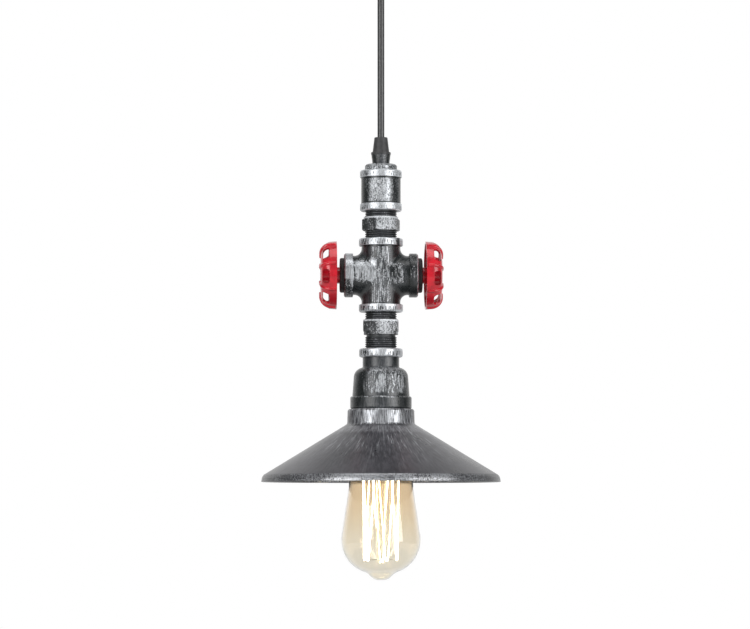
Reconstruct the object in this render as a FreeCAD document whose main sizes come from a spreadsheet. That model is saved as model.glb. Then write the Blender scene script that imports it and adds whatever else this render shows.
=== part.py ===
import FreeCAD, Part
import math
import os
import Sketcher
from FreeCAD import Placement, Rotation, Vector

# An industrial pendant light made of 3/4 inch pipe fittings. A round flex comes down from a ceiling
# canopy into a cord grip. Under it hang a coupling, a hex nipple, a cross with a red handwheel on each
# side, a second hex nipple and a bell reducer, which holds a spun steel shade and the lampholder.
# Millimetres and degrees. The origin is on the ceiling, over the middle of the canopy, and +Z is up.

SIZES = {
    # Canopy and the bar that holds it to the ceiling
    "canopy_diameter": 100,
    "canopy_depth": 25,
    "canopy_wall": 1.2,
    "canopy_round": 6,
    "bar_length": 86,
    "bar_width": 16,
    "bar_thickness": 2,
    "bar_round": 3,
    "bar_screw_hole": 5,
    "bar_screw_spacing": 50,
    "bar_wire_hole": 10,
    "earth_screw_diameter": 3.5,
    "earth_screw_head": 7,
    "earth_screw_length": 6,
    "earth_screw_offset": 13,
    "stud_diameter": 4,
    "stud_spacing": 72,
    "stud_below": 5,
    "stud_nut_flats": 7,
    "stud_nut_height": 3.2,
    "ball_nut_diameter": 9,
    "ball_nut_height": 8,
    "ball_nut_round": 3,
    # Terminal block on the canopy floor
    "block_length": 30,
    "block_width": 14,
    "block_height": 11,
    "block_offset": 28,
    "block_pitch": 9,
    "block_bore": 3,
    "block_screw": 2.6,
    "block_screw_spacing": 7,
    # Flex, its cores and the two cord grips
    "flex_diameter": 5.8,
    "flex_exposed": 119.2,
    "flex_tail": 2,
    "core_diameter": 2,
    "core_circle": 2.7,
    "grip_foot": 14.1,
    "grip_shoulder": 16.2,
    "grip_body_height": 8.4,
    "grip_flange": 16.6,
    "grip_flange_height": 2,
    "grip_cone_foot": 14.1,
    "grip_cone_top": 11,
    "grip_cone_height": 12.6,
    "grip_bore": 6.4,
    "spigot_diameter": 10.8,
    "spigot_height": 5.5,
    "collet_diameter": 8.4,
    "collet_height": 6,
    "mouth_depth": 2,
    "mouth_angle": 27,
    "stub_diameter": 10,
    "stub_length": 10,
    "grip_nut_flats": 14,
    "grip_nut_height": 3,
    # 3/4 inch pipe thread and what is common to the fittings
    "pipe_thread": 26.67,
    "pipe_pitch": 1.814,
    "pipe_thread_depth": 1.16,
    "pipe_engagement": 10,
    "pipe_bore": 19.2,
    "fitting_bore": 21,
    "port_depth": 12,
    "bead_round": 1.5,
    # Top plug and coupling
    "plug_diameter": 27,
    "plug_visible": 5,
    "plug_chamfer": 1.2,
    "plug_floor": 5.5,
    "plug_well": 20,
    "coupling_height": 34.5,
    "coupling_diameter": 33.2,
    "coupling_bead": 35.1,
    "coupling_bead_height": 6.2,
    # Hex nipples
    "hex_flats": 28.9,
    "hex_chamfer": 1.4,
    "nipple_collar": 28.8,
    "upper_hex_height": 9.75,
    "upper_hex_turn": 15.8,
    "upper_thread_above": 5,
    "upper_thread_below": 6.6,
    "upper_collar_height": 1.75,
    "lower_hex_height": 10,
    "lower_hex_turn": 24.7,
    "lower_thread_above": 6.5,
    "lower_thread_below": 11.7,
    "lower_collar_height": 2.4,
    # Cross
    "cross_reach": 31,
    "cross_column": 32.6,
    "cross_branch": 33,
    "cross_fillet": 6,
    "cross_bead": 37,
    "cross_bead_height": 6.4,
    "side_bead_height": 7.4,
    # End plugs, spindles and handwheels
    "end_plug_diameter": 29.2,
    "end_plug_flange": 3.7,
    "end_plug_round": 1.5,
    "end_plug_well": 18,
    "end_plug_floor": 3,
    "spindle_diameter": 6,
    "spindle_head_flats": 10,
    "spindle_head_height": 4,
    "spindle_end": 0.6,
    "wheel_diameter": 57.4,
    "wheel_draft": 1,
    "wheel_depth": 13.4,
    "wheel_round": 9,
    "wheel_wall": 1.8,
    "wheel_hub": 13.9,
    "wheel_hub_reach": 2.6,
    "wheel_well": 20,
    "wheel_well_depth": 4.9,
    "wheel_play": 0.1,
    "rib_diameter": 3.2,
    "rib_bulge": 1.1,
    "rib_margin": 1.2,
    "rib_end_circle": 32,
    "window_width": 12,
    "window_height": 5.6,
    "window_from_back": 6.3,
    "window_round": 2.2,
    "right_wheel_turn": 31.5,
    "left_wheel_turn": 16.5,
    "washer_diameter": 12,
    "washer_thickness": 1,
    "wheel_nut_flats": 10,
    "wheel_nut_height": 3.2,
    # Bell reducer from 3/4 to 1 1/4 inch
    "bell_bead": 36.5,
    "bell_bead_height": 7.3,
    "bell_bead_round": 1.6,
    "bell_neck": 30.7,
    "bell_neck_height": 8.6,
    "bell_neck_round": 1.2,
    "bell_foot": 48,
    "bell_draft": 1.6,
    "bell_shoulder_drop": 2.2,
    "bell_shoulder_round": 8.4,
    "bell_body_height": 24.3,
    "bell_rim_step": 1.75,
    "bell_rim_height": 10.4,
    "bell_wall": 4.2,
    "bell_cavity": 37,
    "large_thread": 41.91,
    "large_pitch": 2.309,
    "large_thread_depth": 1.48,
    "large_engagement": 14.5,
    # Clamp ring, gasket and shade
    "clamp_bore": 36.4,
    "clamp_flange": 51,
    "clamp_flange_height": 3,
    "gasket_diameter": 50,
    "gasket_thickness": 1,
    "shade_collar": 55.9,
    "shade_collar_flare": 0.35,
    "shade_collar_height": 12.7,
    "shade_mouth": 198.6,
    "shade_cone_height": 43.2,
    "shade_rim_flare": 0.9,
    "shade_rim_height": 5.1,
    "shade_wall": 1.2,
    "shade_round": 2.4,
    "shade_hem_width": 2.6,
    "shade_hem_height": 2.8,
    "shade_hem_round": 1.1,
    # Lampholder
    "bracket_thickness": 1.5,
    "bracket_wire_hole": 8,
    "holder_diameter": 35.4,
    "holder_height": 42,
    "holder_roof": 11,
    "holder_round": 2,
    "holder_screw": 3,
    "holder_screw_head": 5.6,
    "holder_screw_head_height": 2,
    "holder_screw_depth": 8,
    "holder_screw_spacing": 22,
    "terminal_diameter": 4.8,
    "terminal_height": 6,
    "terminal_spacing": 18,
    "earth_landing_x": 9.5,
    "earth_landing_y": -7,
    "shell_wall": 0.8,
    "shell_lip": 2.4,
    "contact_diameter": 8,
    "contact_thickness": 1,
    "contact_stem": 3.6,
    "contact_stem_length": 4.4,
    "contact_travel": 1.5,
    "contact_play": 0.3,
    # Bulb with an E27 cap
    "bulb_length": 142,
    "bulb_tip": 15.4,
    "bulb_tip_height": 4.5,
    "bulb_tip_round": 4.2,
    "bulb_button": 9.2,
    "bulb_button_height": 1,
    "insulator_diameter": 18.6,
    "insulator_height": 5,
    "insulator_cone": 3,
    "cap_thread": 26.2,
    "cap_thread_depth": 1.1,
    "cap_pitch": 3.629,
    "cap_length": 27,
    "cap_inside": 22.8,
    "cap_rim_height": 2.6,
    "cap_gap": 0.3,
    "glass_neck": 22.6,
    "glass_neck_inside": 14,
    "glass_neck_round": 3,
    "glass_shoulder": 51.2,
    "glass_shoulder_drop": 25,
    "glass_shoulder_round": 25,
    "glass_waist": 55.9,
    "glass_waist_drop": 44,
    "glass_waist_round": 80,
    "glass_foot": 75.8,
    "glass_foot_round": 28,
    "glass_wall": 0.8,
    "stem_diameter": 8,
    "stem_flare": 20.6,
    "stem_flare_height": 12,
    "stem_clear_of_foot": 9.5,
    "stem_round": 1.6,
    "filament_circle": 30,
    "filament_turn": -8.2,
    "filament_wire": 0.7,
    "filament_bend": 0.9,
    "filament_top": 48,
    "lead_rise": 5,
    "support_wire": 0.6,
    # Clearances
    "running_gap": 0.05,
    "thread_gap": 0.1,
    "cord_gap": 0.05,
    "seat_gap": 0.05,
}

CANOPY_STUDS = (-1, 1)
CORE_ANGLES = {"live": 90, "neutral": 210, "earth": 330}
WHEEL_RIBS = 8
FILAMENT_LEGS = 10
FULL_TURN = 360
HEX_SIDES = 6
HEX_CORNER_SLOPE = 30


class Size:
    """A number of millimetres or degrees, with the expression that ties it to the sheet."""

    def __init__(self, value, text=None):
        self.value = float(value)
        self.text = text or repr(self.value)

    def joined(self, sign, other, value):
        return Size(value, f"({self.text} {sign} {other.text})")

    def __add__(self, other):
        other = size(other)
        return self.joined("+", other, self.value + other.value)

    def __sub__(self, other):
        other = size(other)
        return self.joined("-", other, self.value - other.value)

    def __mul__(self, other):
        other = size(other)
        return self.joined("*", other, self.value * other.value)

    def __truediv__(self, other):
        other = size(other)
        return self.joined("/", other, self.value / other.value)

    def __neg__(self):
        return Size(-self.value, f"(-{self.text})")

    def __radd__(self, other):
        return size(other) + self

    def __rsub__(self, other):
        return size(other) - self

    def __rmul__(self, other):
        return size(other) * self

    @property
    def bound(self):
        return "Sizes." in self.text


def size(number):
    """Return a Size for a Size or a plain number."""
    return number if isinstance(number, Size) else Size(number)


def cosine(angle):
    angle = size(angle)
    return Size(math.cos(math.radians(angle.value)), f"cos({angle.text})")


def sine(angle):
    angle = size(angle)
    return Size(math.sin(math.radians(angle.value)), f"sin({angle.text})")


def tangent(angle):
    angle = size(angle)
    return Size(math.tan(math.radians(angle.value)), f"tan({angle.text})")


class Dimensions:
    """The spreadsheet of driving sizes, each read by its name."""

    def __init__(self, document, values):
        self.values = values
        sheet = document.addObject("Spreadsheet::Sheet", "Sizes")
        for row, (name, value) in enumerate(values.items(), start=1):
            sheet.set(f"A{row}", name)
            sheet.set(f"B{row}", str(value))
            sheet.setAlias(f"B{row}", name)

    def __getattr__(self, name):
        return Size(self.values[name], f"Sizes.{name}")


document = FreeCAD.newDocument("PipePendant")
dim = Dimensions(document, SIZES)
document.recompute()
nodes = []


class Levels:
    """Heights of the seats, worked down from the ceiling."""

    grip_length = dim.grip_body_height + dim.grip_flange_height + dim.grip_cone_height
    canopy_floor = -dim.canopy_depth
    canopy_mouth = canopy_floor - grip_length
    swing_pivot = canopy_mouth + dim.mouth_depth
    plug_top = canopy_mouth - dim.flex_exposed - grip_length
    flex_end = plug_top - dim.stub_length - dim.flex_tail
    coupling_top = plug_top - dim.plug_visible
    coupling_foot = coupling_top - dim.coupling_height
    upper_hex_top = coupling_foot - dim.upper_thread_above - dim.upper_collar_height
    upper_hex_foot = upper_hex_top - dim.upper_hex_height
    cross_middle = upper_hex_foot - dim.upper_thread_below - dim.cross_reach
    lower_hex_top = cross_middle - dim.cross_reach - dim.lower_thread_above
    lower_hex_foot = lower_hex_top - dim.lower_hex_height
    bell_top = lower_hex_foot - dim.lower_collar_height - dim.lower_thread_below
    bell_height = dim.bell_bead_height + dim.bell_neck_height + dim.bell_body_height + dim.bell_rim_height
    bell_foot = bell_top - bell_height
    bell_ledge = bell_foot + dim.large_engagement
    holder_top = bell_ledge - dim.bracket_thickness
    holder_roof = holder_top - dim.holder_roof
    contact_top = holder_roof - dim.contact_travel - dim.contact_play
    bulb_top = contact_top - dim.contact_thickness - dim.seat_gap


UPRIGHT = Rotation()
UPSIDE_DOWN = Rotation(Vector(1, 0, 0), 180)
FACING_RIGHT = Rotation(Vector(0, 1, 0), 90)
FACING_LEFT = Rotation(Vector(0, 1, 0), -90)


def place(item, x=0, y=0, z=0, rotation=UPRIGHT):
    """Set an object's place and tie it to the sheet."""
    spot = [size(distance) for distance in (x, y, z)]
    item.Placement = Placement(Vector(*[distance.value for distance in spot]), rotation)
    for axis, distance in zip("xyz", spot):
        if distance.bound:
            item.setExpression(f"Placement.Base.{axis}", distance.text)


def keep(item):
    """List an object as a sub-part that gets a file of its own."""
    nodes.append(item)
    return item


def new_body(label, x=0, y=0, z=0, rotation=UPRIGHT):
    body = document.addObject("PartDesign::Body", label)
    place(body, x, y, z, rotation)
    return body


def new_sketch(body, role, name, lift=0, turn=0):
    """Attach a sketch to one of the body's origin planes, turned about its upright, then lifted."""
    sketch = body.newObject("Sketcher::SketchObject", name)
    plane = next(item for item in body.Origin.OriginFeatures if item.Role == role)
    sketch.AttachmentSupport = [(plane, "")]
    sketch.MapMode = "FlatFace"
    across = size(lift) * sine(turn)
    out = size(lift) * cosine(turn)
    spot = Vector(across.value, 0, out.value)
    sketch.AttachmentOffset = Placement(spot, Rotation(Vector(0, 1, 0), turn))
    if out.bound:
        sketch.setExpression("AttachmentOffset.Base.x", across.text)
        sketch.setExpression("AttachmentOffset.Base.z", out.text)
    return sketch


class Rules:
    """The constraints of one outline, added together so that solving starts from the drawn shape."""

    def __init__(self, sketch):
        self.sketch = sketch
        self.constraints = []
        self.bindings = {}

    def join(self, kind, *where):
        """Ask for a relation without a measure."""
        self.constraints.append(Sketcher.Constraint(kind, *where))

    def fix(self, kind, value, *where):
        """Ask for a measure, tied to the sheet."""
        value = size(value)
        if value.bound:
            self.bindings[len(self.constraints)] = value.text
        self.constraints.append(Sketcher.Constraint(kind, *where, value.value))

    def pin(self, geometry, point, x, y):
        """Fix a point by its distances from the sketch's origin."""
        self.fix("DistanceX", x, -1, 1, geometry, point)
        self.fix("DistanceY", y, -1, 1, geometry, point)

    def add(self):
        first = self.sketch.ConstraintCount
        self.sketch.addConstraint(self.constraints)
        for index, text in self.bindings.items():
            self.sketch.setExpression(f"Constraints[{first + index}]", text)


class Corner:
    """A corner of an outline, square or rounded."""

    def __init__(self, x, y, radius=0):
        self.x = size(x)
        self.y = size(y)
        self.radius = size(radius)
        self.spot = Vector(self.x.value, self.y.value, 0)


def heading(start, end):
    return (end - start).normalize()


def trace(rules, spots, radii, closed):
    """Draw lines between the spots, with a tangent arc at each spot that has a radius."""
    sketch = rules.sketch
    count = len(spots)
    before = list(spots)
    after = list(spots)
    inner = range(count) if closed else range(1, count - 1)
    rounded = [index for index in inner if radii[index]]
    for index in rounded:
        arriving = heading(spots[index - 1], spots[index])
        leaving = heading(spots[index], spots[(index + 1) % count])
        setback = radii[index] * math.tan(arriving.getAngle(leaving) / 2)
        before[index] = spots[index] - arriving * setback
        after[index] = spots[index] + leaving * setback
    pairs = zip(after, before[1:] + (before[:1] if closed else []))
    lines = [sketch.addGeometry(Part.LineSegment(start, end), False) for start, end in pairs]
    arcs = {}
    for index in inner:
        arriving, leaving = lines[index - 1], lines[index]
        if index not in rounded:
            rules.join("Coincident", arriving, 2, leaving, 1)
            continue
        bisector = heading(spots[index] * 2, before[index] + after[index])
        half_turn = heading(spots[index], after[index]).getAngle(bisector)
        middle = spots[index] + bisector * radii[index] * (1 / math.sin(half_turn) - 1)
        arc = sketch.addGeometry(Part.Arc(before[index], middle, after[index]), False)
        forward = sketch.getPoint(arc, 1).distanceToPoint(before[index]) < 1e-6
        enter, leave = (1, 2) if forward else (2, 1)
        rules.join("Tangent", arriving, 2, arc, enter)
        rules.join("Tangent", arc, leave, leaving, 1)
        arcs[index] = arc
    return lines, arcs


def pin_corners(rules, corners, lines, arcs):
    """Fix each corner of a traced outline, and the radius of each arc."""
    for index, corner in enumerate(corners):
        if index in arcs:
            point = rules.sketch.addGeometry(Part.Point(corner.spot), True)
            rules.join("PointOnObject", point, 1, lines[index - 1])
            rules.join("PointOnObject", point, 1, lines[index])
            rules.fix("Radius", corner.radius, arcs[index])
            rules.pin(point, 1, corner.x, corner.y)
        elif index < len(lines):
            rules.pin(lines[index], 1, corner.x, corner.y)
        else:
            rules.pin(lines[-1], 2, corner.x, corner.y)


def draw(sketch, outline, closed=True):
    """Draw an outline, given as (x, y) or (x, y, radius) corners."""
    rules = Rules(sketch)
    corners = [Corner(*point) for point in outline]
    spots = [corner.spot for corner in corners]
    radii = [corner.radius.value for corner in corners]
    lines, arcs = trace(rules, spots, radii, closed)
    pin_corners(rules, corners, lines, arcs)
    rules.add()


def draw_wall(sketch, outline, wall):
    """Draw a sheet of even thickness, which lies on the right of the outer line as it is walked."""
    rules = Rules(sketch)
    corners = [Corner(*point) for point in outline]
    spots = [corner.spot for corner in corners]
    radii = [corner.radius.value for corner in corners]
    lines, arcs = trace(rules, spots, radii, closed=False)
    pin_corners(rules, corners, lines, arcs)
    headings = [heading(start, end) for start, end in zip(spots, spots[1:])]
    sides = [Vector(way.y, -way.x, 0) for way in headings]
    inner_spots = []
    inner_radii = []
    for index, spot in enumerate(spots):
        arriving = sides[max(index - 1, 0)]
        leaving = sides[min(index, len(sides) - 1)]
        inner_spots.append(spot + (arriving + leaving) * (wall.value / (1 + arriving.dot(leaving))))
        turns_in = arriving.dot(headings[min(index, len(sides) - 1)]) > 0
        change = -wall.value if turns_in else wall.value
        inner_radii.append(radii[index] + change if radii[index] else 0)
    inner_lines, inner_arcs = trace(rules, inner_spots, inner_radii, closed=False)
    for index, arc in inner_arcs.items():
        step = -wall if inner_radii[index] < radii[index] else wall
        rules.fix("Radius", corners[index].radius + step, arc)
    for outer, inner in zip(lines, inner_lines):
        rules.join("Parallel", outer, inner)
        rules.fix("Distance", wall, inner, 1, outer)
    for end, point in ((0, 1), (-1, 2)):
        closing = sketch.addGeometry(Part.LineSegment(spots[end], inner_spots[end]), False)
        rules.join("Coincident", closing, 1, lines[end], point)
        rules.join("Coincident", closing, 2, inner_lines[end], point)
        rules.join("Perpendicular", closing, lines[end])
    rules.add()


def draw_circle(sketch, x, y, radius):
    """Draw a circle with its middle at x, y."""
    x, y, radius = size(x), size(y), size(radius)
    circle = Part.Circle(Vector(x.value, y.value, 0), Vector(0, 0, 1), radius.value)
    rules = Rules(sketch)
    index = sketch.addGeometry(circle, False)
    rules.fix("Radius", radius, index)
    rules.pin(index, 3, x, y)
    rules.add()


def rectangle(left, bottom, right, top, radius=0):
    return [(left, bottom, radius), (right, bottom, radius), (right, top, radius), (left, top, radius)]


def hexagon(flats):
    """List the corners of a hexagon from its width across flats."""
    corner_radius = flats / 2 / cosine(FULL_TURN / HEX_SIDES / 2)
    angles = [FULL_TURN / HEX_SIDES * step for step in range(HEX_SIDES)]
    return [(corner_radius * cosine(angle), corner_radius * sine(angle)) for angle in angles]


def spin(body, sketch, kind="Revolution", axis="V_Axis"):
    """Revolve a sketch a full turn, as material or as a groove."""
    feature = body.newObject(f"PartDesign::{kind}", kind)
    feature.Profile = sketch
    feature.ReferenceAxis = (sketch, [axis])
    feature.Angle = FULL_TURN
    return feature


def turned(label, outline, x=0, y=0, z=0, rotation=UPRIGHT):
    """Make a body by turning a closed outline of (radius, height) corners."""
    body = new_body(label, x, y, z, rotation)
    sketch = new_sketch(body, "XZ_Plane", "profile")
    draw(sketch, outline)
    spin(body, sketch)
    return body


def turned_wall(label, outline, wall, z=0):
    """Make a body by turning a sheet of even thickness."""
    body = new_body(label, z=z)
    sketch = new_sketch(body, "XZ_Plane", "profile")
    draw_wall(sketch, outline, wall)
    spin(body, sketch)
    return body


def pad(body, sketch, length, symmetric=False):
    """Raise a sketch off its plane."""
    feature = body.newObject("PartDesign::Pad", "Pad")
    feature.Profile = sketch
    feature.Midplane = symmetric
    feature.Length = length.value
    feature.setExpression("Length", length.text)
    return feature


def drill(body, holes, name="holes"):
    """Cut round holes, each an (x, y, diameter), right through along Z."""
    sketch = new_sketch(body, "XY_Plane", name)
    for x, y, diameter in holes:
        draw_circle(sketch, x, y, diameter / 2)
    feature = body.newObject("PartDesign::Pocket", "Pocket")
    feature.Profile = sketch
    feature.Type = "ThroughAll"
    feature.Midplane = True
    return feature


def sink(body, holes, top, depth, name="blind_holes"):
    """Cut round blind holes, each an (x, y, diameter), down from a level of the body."""
    sketch = new_sketch(body, "XY_Plane", name, lift=top)
    for x, y, diameter in holes:
        draw_circle(sketch, x, y, diameter / 2)
    feature = body.newObject("PartDesign::Pocket", "Pocket")
    feature.Profile = sketch
    feature.Length = depth.value
    feature.setExpression("Length", depth.text)
    return feature


def repeat_round(body, feature, count):
    """Repeat a feature evenly about the body's Z axis."""
    pattern = body.newObject("PartDesign::PolarPattern", "PolarPattern")
    pattern.Originals = [feature]
    axis = next(item for item in body.Origin.OriginFeatures if item.Role == "Z_Axis")
    pattern.Axis = (axis, [""])
    pattern.Angle = FULL_TURN
    pattern.Occurrences = count
    body.Tip = pattern
    return pattern


def thread_corners(diameter, depth, pitch, start, end):
    """List root and crest corners from one level to another, ending in a short plain run-out."""
    way = 1 if end.value > start.value else -1
    plain_end = pitch.value / 10
    turns = int((abs(end.value - start.value) - plain_end) / pitch.value)
    crest = diameter / 2
    root = crest - depth
    corners = []
    for turn in range(turns):
        corners.append((root, start + pitch * (way * turn)))
        corners.append((crest, start + pitch * (way * (turn + 3 / 8))))
        corners.append((crest, start + pitch * (way * (turn + 5 / 8))))
    corners.append((root, start + pitch * (way * turns)))
    corners.append((root, end))
    return corners


def pipe_thread(start, end):
    return thread_corners(dim.pipe_thread, dim.pipe_thread_depth, dim.pipe_pitch, start, end)


def hex_ring(body, flats, bore, bottom, height, chamfer):
    """Add a hexagon with a round hole, its corners turned down at both ends."""
    sketch = new_sketch(body, "XY_Plane", "hexagon", lift=bottom)
    draw(sketch, hexagon(flats))
    draw_circle(sketch, 0, 0, bore / 2)
    pad(body, sketch, height)
    corner = flats / 2 / cosine(HEX_CORNER_SLOPE)
    start = corner - chamfer
    reach = corner + chamfer
    drop = (reach - start) * tangent(HEX_CORNER_SLOPE)
    ends = new_sketch(body, "XZ_Plane", "turned_corners")
    top = bottom + height
    draw(ends, [(start, top), (reach, top), (reach, top - drop)])
    draw(ends, [(start, bottom), (reach, bottom + drop), (reach, bottom)])
    spin(body, ends, "Groove")


def hex_nut(label, flats, bore, height, chamfer, x=0, y=0, z=0, rotation=UPRIGHT):
    """Make a nut that reaches down from z."""
    body = new_body(label, x, y, z, rotation)
    hex_ring(body, flats, bore, -height, height, chamfer)
    return body


def group(label, members):
    """Join separate solids that are alike in one node."""
    compound = document.addObject("Part::Compound", label)
    compound.Links = members
    return keep(compound)


def feature_from(label, shape):
    """Make a node from a shape built with Part's own functions."""
    item = document.addObject("Part::Feature", label)
    item.Shape = shape
    return keep(item)


NUT_CHAMFER = size(0.4)


def canopy():
    """The spun cup that covers the ceiling fixing, with its cross bar, studs and nuts."""
    radius = dim.canopy_diameter / 2
    cup = turned_wall(
        "canopy_cup",
        [(radius, 0), (radius, -dim.canopy_depth, dim.canopy_round), (0, -dim.canopy_depth)],
        dim.canopy_wall,
    )
    stud_hole = dim.stud_diameter + 4 * dim.thread_gap
    stud_places = [dim.stud_spacing / 2 * side for side in CANOPY_STUDS]
    drill(
        cup,
        [(0, 0, dim.stub_diameter + 2 * dim.thread_gap)] + [(x, 0, stud_hole) for x in stud_places],
    )
    keep(cup)

    bar = new_body("ceiling_crossbar", z=-dim.bar_thickness)
    sketch = new_sketch(bar, "XY_Plane", "strip")
    half_length = dim.bar_length / 2
    half_width = dim.bar_width / 2
    draw(sketch, rectangle(-half_length, -half_width, half_length, half_width, dim.bar_round))
    pad(bar, sketch, dim.bar_thickness)
    screw_places = [dim.bar_screw_spacing / 2 * side for side in CANOPY_STUDS]
    drill(
        bar,
        [(x, 0, dim.bar_screw_hole) for x in screw_places]
        + [(x, 0, dim.stud_diameter + 2 * dim.seat_gap) for x in stud_places]
        + [(0, 0, dim.bar_wire_hole), (dim.earth_screw_offset, 0, dim.earth_screw_diameter)],
    )
    keep(bar)

    studs = []
    lock_nuts = []
    ball_nuts = []
    nut_bore = dim.stud_diameter + 2 * dim.seat_gap
    stud_length = dim.canopy_depth + dim.stud_below
    for number, x in enumerate(stud_places):
        stud_outline = rectangle(0, -stud_length, dim.stud_diameter / 2, -dim.seat_gap)
        studs.append(turned(f"stud_{number}", stud_outline, x=x))
        lock_nuts.append(
            hex_nut(
                f"lock_nut_{number}",
                dim.stud_nut_flats,
                nut_bore,
                dim.stud_nut_height,
                NUT_CHAMFER,
                x=x,
                z=-dim.bar_thickness,
            )
        )
        ball_radius = dim.ball_nut_diameter / 2
        ball_nut = turned(
            f"ball_nut_{number}",
            [
                (0, -dim.ball_nut_height),
                (ball_radius, -dim.ball_nut_height, dim.ball_nut_round),
                (ball_radius, 0),
                (nut_bore / 2, 0),
                (nut_bore / 2, -dim.stud_below - dim.seat_gap),
                (0, -dim.stud_below - dim.seat_gap),
            ],
            x=x,
            z=Levels.canopy_floor,
        )
        ball_nuts.append(ball_nut)
    group("canopy_studs", studs)
    group("stud_lock_nuts", lock_nuts)
    group("canopy_ball_nuts", ball_nuts)

    screw_radius = dim.earth_screw_diameter / 2
    head_radius = dim.earth_screw_head / 2
    keep(
        turned(
            "earth_screw",
            [
                (0, -dim.earth_screw_length),
                (head_radius, -dim.earth_screw_length, NUT_CHAMFER),
                (head_radius, -dim.bar_thickness - dim.core_diameter),
                (screw_radius, -dim.bar_thickness - dim.core_diameter),
                (screw_radius, -dim.seat_gap),
                (0, -dim.seat_gap),
            ],
            x=dim.earth_screw_offset,
        )
    )


def terminal_block():
    """The three-way block on the canopy floor where the supply meets the flex."""
    floor = Levels.canopy_floor + dim.canopy_wall
    block = new_body("terminal_block", y=dim.block_offset, z=floor)
    sketch = new_sketch(block, "XY_Plane", "footprint")
    half_length = dim.block_length / 2
    half_width = dim.block_width / 2
    draw(sketch, rectangle(-half_length, -half_width, half_length, half_width, 1))
    pad(block, sketch, dim.block_height)
    ways = [dim.block_pitch * step for step in (-1, 0, 1)]
    bores = new_sketch(block, "XZ_Plane", "wire_bores")
    for x in ways:
        draw_circle(bores, x, dim.block_height / 2, dim.block_bore / 2)
    bore_cut = block.newObject("PartDesign::Pocket", "Pocket")
    bore_cut.Profile = bores
    bore_cut.Type = "ThroughAll"
    bore_cut.Midplane = True
    rows = [dim.block_screw_spacing / 2 * side for side in (-1, 1)]
    screw_holes = [(x, y, dim.block_screw) for x in ways for y in rows]
    screw_depth = dim.block_height / 2 - dim.block_bore / 2
    sink(block, screw_holes, dim.block_height, screw_depth + dim.block_bore / 4)
    keep(block)

    screws = []
    for x in ways:
        for y in rows:
            radius = dim.block_screw / 2 - dim.seat_gap
            screw = turned(
                f"block_screw_{len(screws)}",
                rectangle(0, dim.block_height - screw_depth, radius, dim.block_height - NUT_CHAMFER),
                x=x,
                y=dim.block_offset + y,
                z=floor,
            )
            screws.append(screw)
    group("terminal_block_screws", screws)


def cord_grip(prefix, level, rotation, panel):
    """A threaded body, a collet, a cap with a flared mouth, and the nut behind the panel."""
    body_top = dim.grip_body_height
    flange_top = body_top + dim.grip_flange_height
    cap_top = Levels.grip_length
    bore = dim.grip_bore / 2
    stub = dim.stub_diameter / 2
    spigot = dim.spigot_diameter / 2
    spigot_top = body_top + dim.spigot_height
    collet_top = spigot_top + dim.collet_height
    collet = dim.collet_diameter / 2

    keep(
        turned(
            f"{prefix}_body",
            [
                (bore, -dim.stub_length),
                (stub, -dim.stub_length, NUT_CHAMFER),
                (stub, 0),
                (dim.grip_foot / 2, 0, NUT_CHAMFER),
                (dim.grip_shoulder / 2, body_top),
                (spigot, body_top),
                (spigot, spigot_top),
                (bore, spigot_top),
            ],
            z=level,
            rotation=rotation,
        )
    )
    keep(
        turned(
            f"{prefix}_collet",
            [
                (dim.flex_diameter / 2 + dim.cord_gap, spigot_top),
                (collet, spigot_top),
                (collet, collet_top),
                (dim.flex_diameter / 2 + dim.cord_gap, collet_top),
            ],
            z=level,
            rotation=rotation,
        )
    )
    ceiling = collet_top + dim.seat_gap
    pivot = cap_top - dim.mouth_depth
    flare = bore + dim.mouth_depth * tangent(dim.mouth_angle)
    keep(
        turned(
            f"{prefix}_cap",
            [
                (spigot + dim.thread_gap, body_top),
                (dim.grip_flange / 2, body_top, NUT_CHAMFER),
                (dim.grip_flange / 2, flange_top, NUT_CHAMFER),
                (dim.grip_cone_foot / 2, flange_top),
                (dim.grip_cone_top / 2, cap_top, NUT_CHAMFER),
                (flare, cap_top),
                (bore, pivot),
                (bore, ceiling),
                (collet + dim.thread_gap, ceiling),
                (collet + dim.thread_gap, spigot_top + dim.thread_gap),
                (spigot + dim.thread_gap, spigot_top + dim.thread_gap),
            ],
            z=level,
            rotation=rotation,
        )
    )
    nut_seat = level + (panel if rotation is UPSIDE_DOWN else -panel)
    keep(
        hex_nut(
            f"{prefix}_nut",
            dim.grip_nut_flats,
            dim.stub_diameter + 2 * dim.seat_gap,
            dim.grip_nut_height,
            NUT_CHAMFER,
            z=nut_seat,
            rotation=rotation,
        )
    )


def flex():
    """The round flex: its fixed tail in the canopy and the length that swings under it."""
    radius = dim.flex_diameter / 2
    tail_foot = Levels.swing_pivot + radius + dim.contact_play
    tail_top = Levels.canopy_floor + dim.stub_length + dim.flex_tail
    keep(turned("flex_tail", rectangle(0, 0, radius, tail_top - tail_foot), z=tail_foot))

    straight = document.addObject("Part::Cylinder", "flex_straight")
    straight.setExpression("Radius", radius.text)
    straight.setExpression("Height", (Levels.swing_pivot - Levels.flex_end).text)
    place(straight, z=Levels.flex_end)
    end = document.addObject("Part::Sphere", "flex_round_end")
    end.setExpression("Radius", radius.text)
    place(end, z=Levels.swing_pivot)
    cord = document.addObject("Part::Fuse", "flex_cord")
    cord.Base = straight
    cord.Tool = end
    keep(cord)


def on_circle(radius, angle, level):
    """Return a spot at an angle in degrees on a level circle about the axis."""
    turn = math.radians(angle)
    return (radius * math.cos(turn), radius * math.sin(turn), level)


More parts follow.
